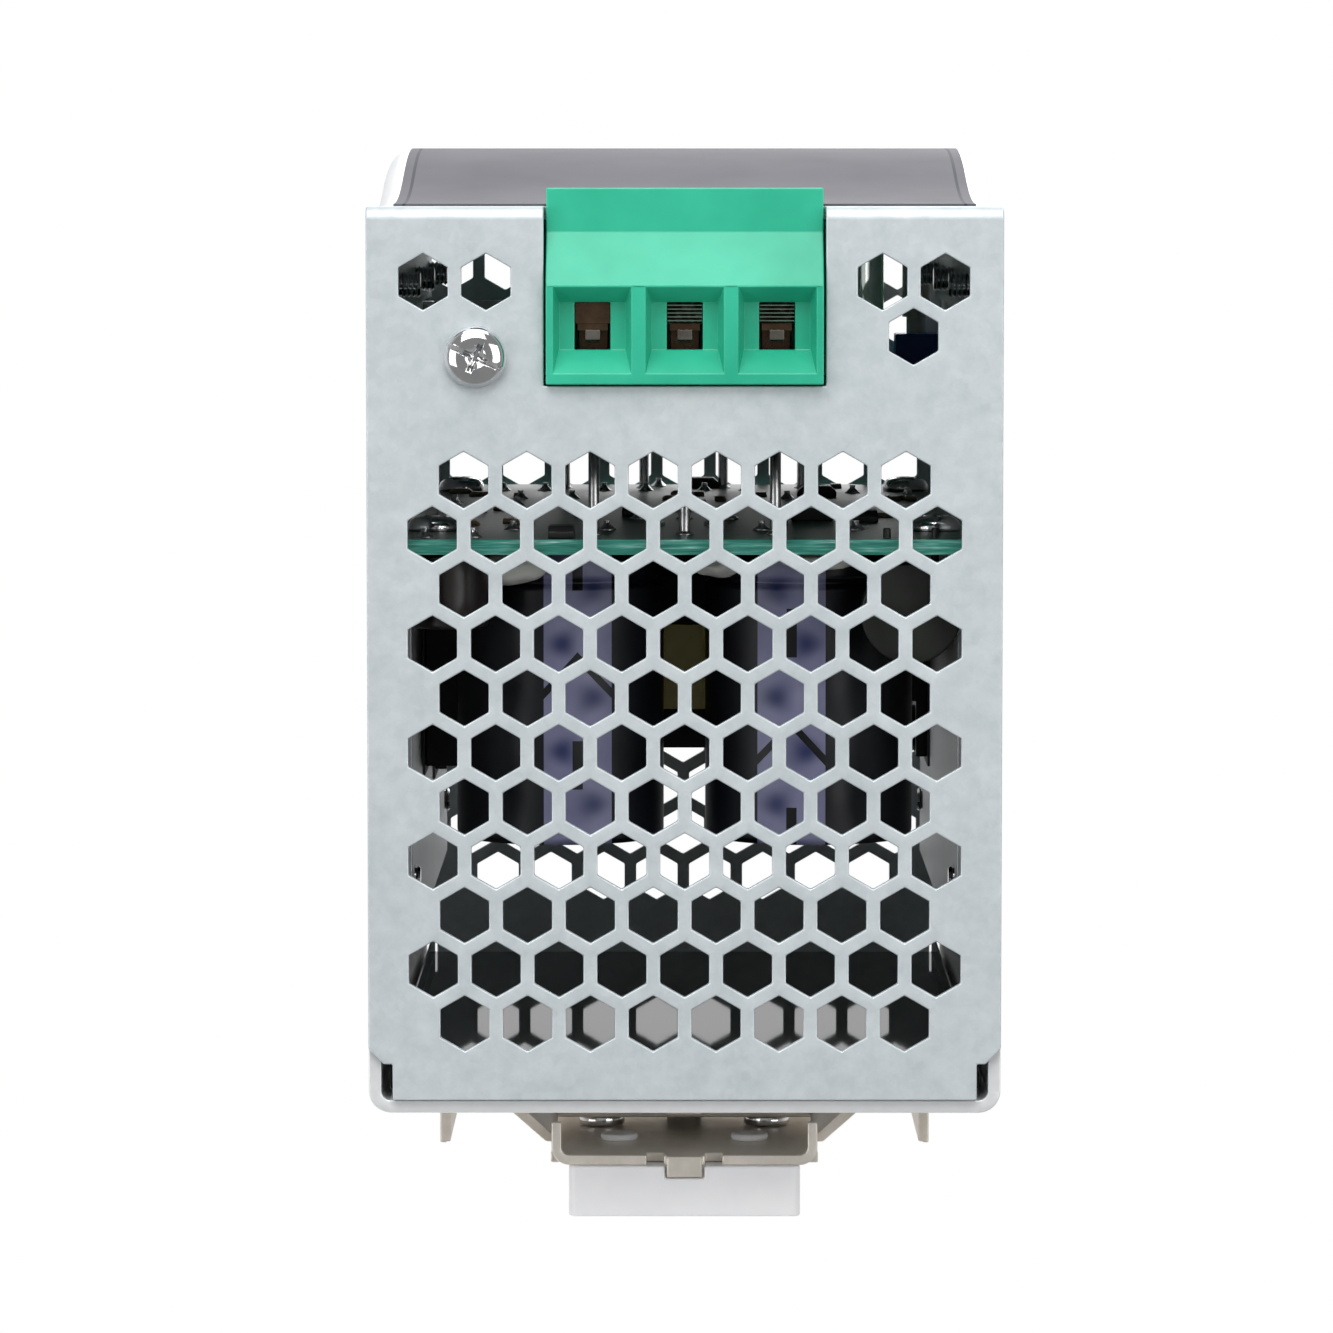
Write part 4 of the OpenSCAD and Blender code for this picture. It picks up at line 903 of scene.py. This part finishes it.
finishPiece(tapedWinding(), "tapedWinding", "winding_tape", stands=["transformer_winding"])


tapeBand = {"low": (-17.68, -53.9, -27.18), "high": (17.68, -44.7, 3.18), "thick": 0.16,
            "lapLow": (2, -53.8, -27.34), "lapHigh": (9, -44.8, -27.17)}


def coreTape():
    # tape wound round the outside of the core, which holds its two halves together
    band = addBlock(tapeBand["low"], tapeBand["high"])
    pickFaces(band, lambda at, way: abs(way.y) > 0.9)
    insetBy(tapeBand["thick"])
    bpy.ops.mesh.delete(type="FACE")
    bpy.ops.object.mode_set(mode="OBJECT")
    pickFaces(band, lambda at, way: abs(way.y) > 0.9)
    bpy.ops.mesh.delete(type="FACE")
    bpy.ops.object.mode_set(mode="OBJECT")
    applyModifier(band, "SOLIDIFY", thickness=tapeBand["thick"] * mm, offset=-1)
    roundEdges(band, 0.07, 2, 40)
    lap = addBlock(tapeBand["lapLow"], tapeBand["lapHigh"])
    roundEdges(lap, 0.06, 2, 40)
    return joined([band, lap])


finishPiece(coreTape(), "coreTape", "winding_tape")


def wireTurn(halfWidth, halfHeight, wire):
    # one turn of wire round a squarish section, in the X and Y plane
    deselectAll()
    bpy.ops.curve.primitive_bezier_circle_add(radius=1)
    turn = bpy.context.object
    turn.scale = (halfWidth * mm, halfHeight * mm, mm)
    settle(turn)
    for point in turn.data.splines[0].bezier_points:
        point.handle_left_type = point.handle_right_type = "FREE"
        point.handle_left = point.co + (point.handle_left - point.co) * 1.5
        point.handle_right = point.co + (point.handle_right - point.co) * 1.5
    turn.data.resolution_u = 6
    turn.data.bevel_depth = wire * mm
    turn.data.bevel_resolution = 1
    activate(turn)
    bpy.ops.object.convert(target="MESH")
    turn = bpy.context.object
    smoothed(turn, 180)
    return turn


def windRing(values):
    # turns of wire set round a ring core that stands with its axis along X
    turn = wireTurn(values["halfWidth"], values["halfHeight"], values["wire"])
    turns = []
    for start, end, count in values["runs"]:
        for i in range(count):
            angle = radians(start + (end - start) * i / (count - 1))
            outward = Vector((0, cos(angle), sin(angle)))
            twin = twinOf(turn)
            spread = Vector((1, 0, 0)).cross(outward)
            axes = Matrix((Vector((1, 0, 0)), outward, spread)).transposed().to_4x4()
            place = Vector(values["at"]) + outward * values["middle"]
            twin.matrix_world = Matrix.Translation(place * mm) @ axes
            turns.append(settle(twin))
    discard(turn)
    return joined(turns)


chokeWinding = {"at": (-16, -52.5, 17), "middle": 7.1, "halfWidth": 4.65, "halfHeight": 2.75, "wire": 0.55,
                "runs": [(15, 165, 14), (195, 345, 14)]}
finishPiece(windRing(chokeWinding), "chokeTurns", "copper_wire", stands=["choke_windings"])
inductorWinding = {"at": (16, -52.3, 31), "middle": 7.8, "halfWidth": 4.9, "halfHeight": 2.75, "wire": 0.55,
                   "runs": [(-70, 250, 30)], "coreHalf": 2.1, "coreDepth": 4.0}
finishPiece(windRing(inductorWinding), "inductorTurns", "copper_wire")


def powderRing(values):
    # ring core of pressed powder: a thick band with its corners rounded by the coating
    x, y, z = values["at"]
    depth, half = values["coreDepth"], values["coreHalf"]
    ring = addRod(values["middle"] + half, (x - depth, y, z), (x + depth, y, z), 64)
    cutWith(ring, addRod(values["middle"] - half, (x - depth - 1, y, z), (x + depth + 1, y, z), 64))
    roundEdges(ring, 0.9, 4, 40)
    return ring


finishPiece(powderRing(inductorWinding), "inductorCore", "powder_core", stands=["output_inductor"])
print("wound parts made")


# ---- insulating sheet ----

sheetSize = {"low": (-30.6, -7.85, -58.5), "high": (30.6, -7.6, 58.5), "turnUp": 2.4}


def insulatingSheet():
    # thin black sheet over the back wall, its two long sides turned up against the case
    low, high, thick = sheetSize["low"], sheetSize["high"], sheetSize["high"][1] - sheetSize["low"][1]
    sheet = addBlock(low, high)
    for sign, side in ((-1, low[0]), (1, high[0])):
        pickFaces(sheet, lambda at, way: True)
        bpy.ops.mesh.bisect(plane_co=((side - sign * thick) * mm, 0, 0), plane_no=(1, 0, 0))
        bpy.ops.object.mode_set(mode="OBJECT")
        pickFaces(sheet, lambda at, way: way.y < -0.9 and sign * at.x > sign * side - thick)
        pullOut(y=-sheetSize["turnUp"])
        bpy.ops.object.mode_set(mode="OBJECT")
    roundEdges(sheet, 0.06, 1, 40)
    return sheet


finishPiece(insulatingSheet(), "insulatingSheet", "bobbin_black", material=insulatingFilm())
print("insulating sheet made")


# ---- posts, light and spring ----

def boardPosts():
    # tinned pins between the small boards and the main board, each with a collar at its lower end
    pins = []
    for x, z in solderRows["input post pins"] + solderRows["output post pins"]:
        pin = addRod(0.58, (x, -79.4, z), (x, -63.6, z), 16)
        pickFaces(pin, lambda at, way: way.y < -0.9)
        insetBy(0.12, 0.15)
        bpy.ops.object.mode_set(mode="OBJECT")
        pins.append(pin)
    posts = joined(pins)
    smoothed(posts, 40)
    return posts


finishPiece(boardPosts(), "tinnedPosts", "tinned_wire", stands=["board_posts"])


def statusLight():
    # dome of clear green resin with a flange at its foot
    lamp = addRod(1.8, (0, 0, 0), (0, 0, 1.2), 32)
    pickFaces(lamp, lambda at, way: way.z > 0.9)
    insetBy(0.3)
    pullOut(z=3.3)
    for factor, rise in ((0.95, 0.45), (0.84, 0.4), (0.66, 0.3), (0.45, 0.15)):
        pullOut(z=rise)
        resizeBy((factor, factor, 1), (0, 0, 0))
    bpy.ops.object.mode_set(mode="OBJECT")
    smoothed(lamp, 45)
    placedLamp = placed(lamp, (22.8, -78.5, 56.4), (0, -1, 0))
    discard(lamp)
    return placedLamp


finishPiece(statusLight(), "statusLight", "led_green", stands=["status_led"])

coil = {"radius": 1.2, "wire": 0.25, "low": -33.5, "high": -19.0, "turns": 9, "y": -2.75}


def latchCoil():
    # spring wire wound by the Screw modifier between its seat and the latch's tab
    wire = addRod(coil["wire"], (0, -0.01, 0), (0, 0.01, 0), 10)
    wire.location = Vector((coil["radius"], 0, coil["wire"])) * mm
    settle(wire)
    pickFaces(wire, lambda at, way: abs(way.y) < 0.9 or way.y > 0)
    bpy.ops.mesh.delete(type="FACE")
    bpy.ops.object.mode_set(mode="OBJECT")
    rise = (coil["high"] - coil["low"] - 2 * coil["wire"]) * mm
    applyModifier(wire, "SCREW", axis="Z", angle=2 * pi * coil["turns"], screw_offset=rise,
                  iterations=1, steps=24 * coil["turns"], render_steps=24 * coil["turns"],
                  use_merge_vertices=False)
    pickFaces(wire, lambda at, way: True)
    bpy.ops.mesh.select_all(action="SELECT")
    bpy.ops.mesh.remove_doubles(threshold=0.001 * mm)
    bpy.ops.mesh.normals_make_consistent(inside=False)
    bpy.ops.object.mode_set(mode="OBJECT")
    wire.location = Vector((0, coil["y"], coil["low"])) * mm
    settle(wire)
    smoothed(wire, 60)
    return wire


spring = finishPiece(latchCoil(), "latchCoil", "spring_steel", stands=["latch_spring"])
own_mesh(spring)
print("posts, light and spring made")


# ---- room, light and camera ----

def areaLight(name, place, target, size, power):
    light = bpy.data.lights.new(name, "AREA")
    light.shape = "RECTANGLE"
    light.size, light.size_y = size
    light.energy = power
    lamp = bpy.data.objects.new(name, light)
    lamp.location = place
    lamp.rotation_euler = (Vector(target) - Vector(place)).to_track_quat("-Z", "Y").to_euler()
    bpy.context.scene.collection.objects.link(lamp)


# strength of the room's own light below and above, and each soft box: place, width and height, power
room = {"below": 0.3, "above": 0.7}
softBoxes = {"keyBox": ((-0.15, -1.15, -0.95), (1.2, 0.9), 15),
             "overheadBox": ((0, -1.35, -0.3), (1.4, 0.7), 5),
             "fillBox": ((0.9, -0.2, -1.1), (0.9, 0.9), 6), "leftBox": ((-1.1, -0.1, -0.9), (0.9, 0.9), 6),
             "topBox": ((0.4, -0.7, 1.2), (1.1, 1.1), 9), "backBox": ((-0.5, 1.2, 0.5), (1.0, 1.0), 7)}


def studio():
    # a pale floor well below the object, a white room and soft boxes on every side
    deselectAll()
    bpy.ops.mesh.primitive_plane_add(size=12, location=(0, 0, -1.5))
    floor = bpy.context.object
    floor.name = "floor"
    material, tree, where = startMaterial("paleFloor")
    cloud = addNode(tree, "TexNoise", {"Vector": where, "Scale": 2.0})
    colour = addNode(tree, "ValToRGB", {"Fac": cloud}, stops=[(0.3, "ececec"), (0.7, "f2f2f2")])
    cover(tree, colour, addNode(tree, "MapRange", {"Value": cloud, "To Min": 0.75, "To Max": 0.85}))
    floor.data.materials.append(material)
    floor.visible_diffuse = floor.visible_glossy = False  # its pale bounce would fill the inside with light
    world = bpy.data.worlds.new("whiteRoom")
    world.use_nodes = True
    tree = world.node_tree
    way = addNode(tree, "TexCoord", out="Generated")
    way = addNode(tree, "SeparateXYZ", {"Vector": way}, "Z")
    strength = addNode(tree, "MapRange", {"Value": way, "From Min": -0.35, "From Max": 0.35,
                                          "To Min": room["below"], "To Max": room["above"]})
    ambient = addNode(tree, "Background", {"Color": linearColour("ffffff"), "Strength": strength})
    seen = addNode(tree, "Background", {"Color": linearColour("ffffff"), "Strength": 1.0})
    straight = addNode(tree, "LightPath", out="Is Camera Ray")
    both = addNode(tree, "MixShader", {0: straight, 1: ambient, 2: seen})
    tree.links.new(both, tree.nodes["World Output"].inputs["Surface"])
    bpy.context.scene.world = world
    middle = (0, -0.05, 0)
    for name, (place, size, power) in softBoxes.items():
        areaLight(name, place, middle, size, power)
    bpy.context.scene.view_settings.view_transform = "Standard"


cameraPlace = {"lens": 173.2, "x": -0.9, "y": -102.0, "z": -721.6, "tilt": 4.337, "yaw": 0.085, "roll": 0.0}


def camera():
    # looks up at the lower end, level with the curved front
    c = cameraPlace
    tilt, yaw, roll = (radians(c[k]) for k in ("tilt", "yaw", "roll"))
    forward = Vector((-sin(yaw), sin(tilt), cos(tilt))).normalized()
    up = Vector((0, -1, 0))
    up = (up - forward * up.dot(forward)).normalized()
    right = forward.cross(up)
    right, up = right * cos(roll) + up * sin(roll), up * cos(roll) - right * sin(roll)
    data = bpy.data.cameras.new("lowerEndCamera")
    data.lens = c["lens"]
    data.sensor_width = 36
    data.clip_end = 20
    seer = bpy.data.objects.new("lowerEndCamera", data)
    turn = Matrix((right, up, -forward)).transposed().to_4x4()
    seer.matrix_world = Matrix.Translation((c["x"] * mm, c["y"] * mm, c["z"] * mm)) @ turn
    bpy.context.scene.collection.objects.link(seer)
    bpy.context.scene.camera = seer


studio()
camera()
print("room, light and camera set")
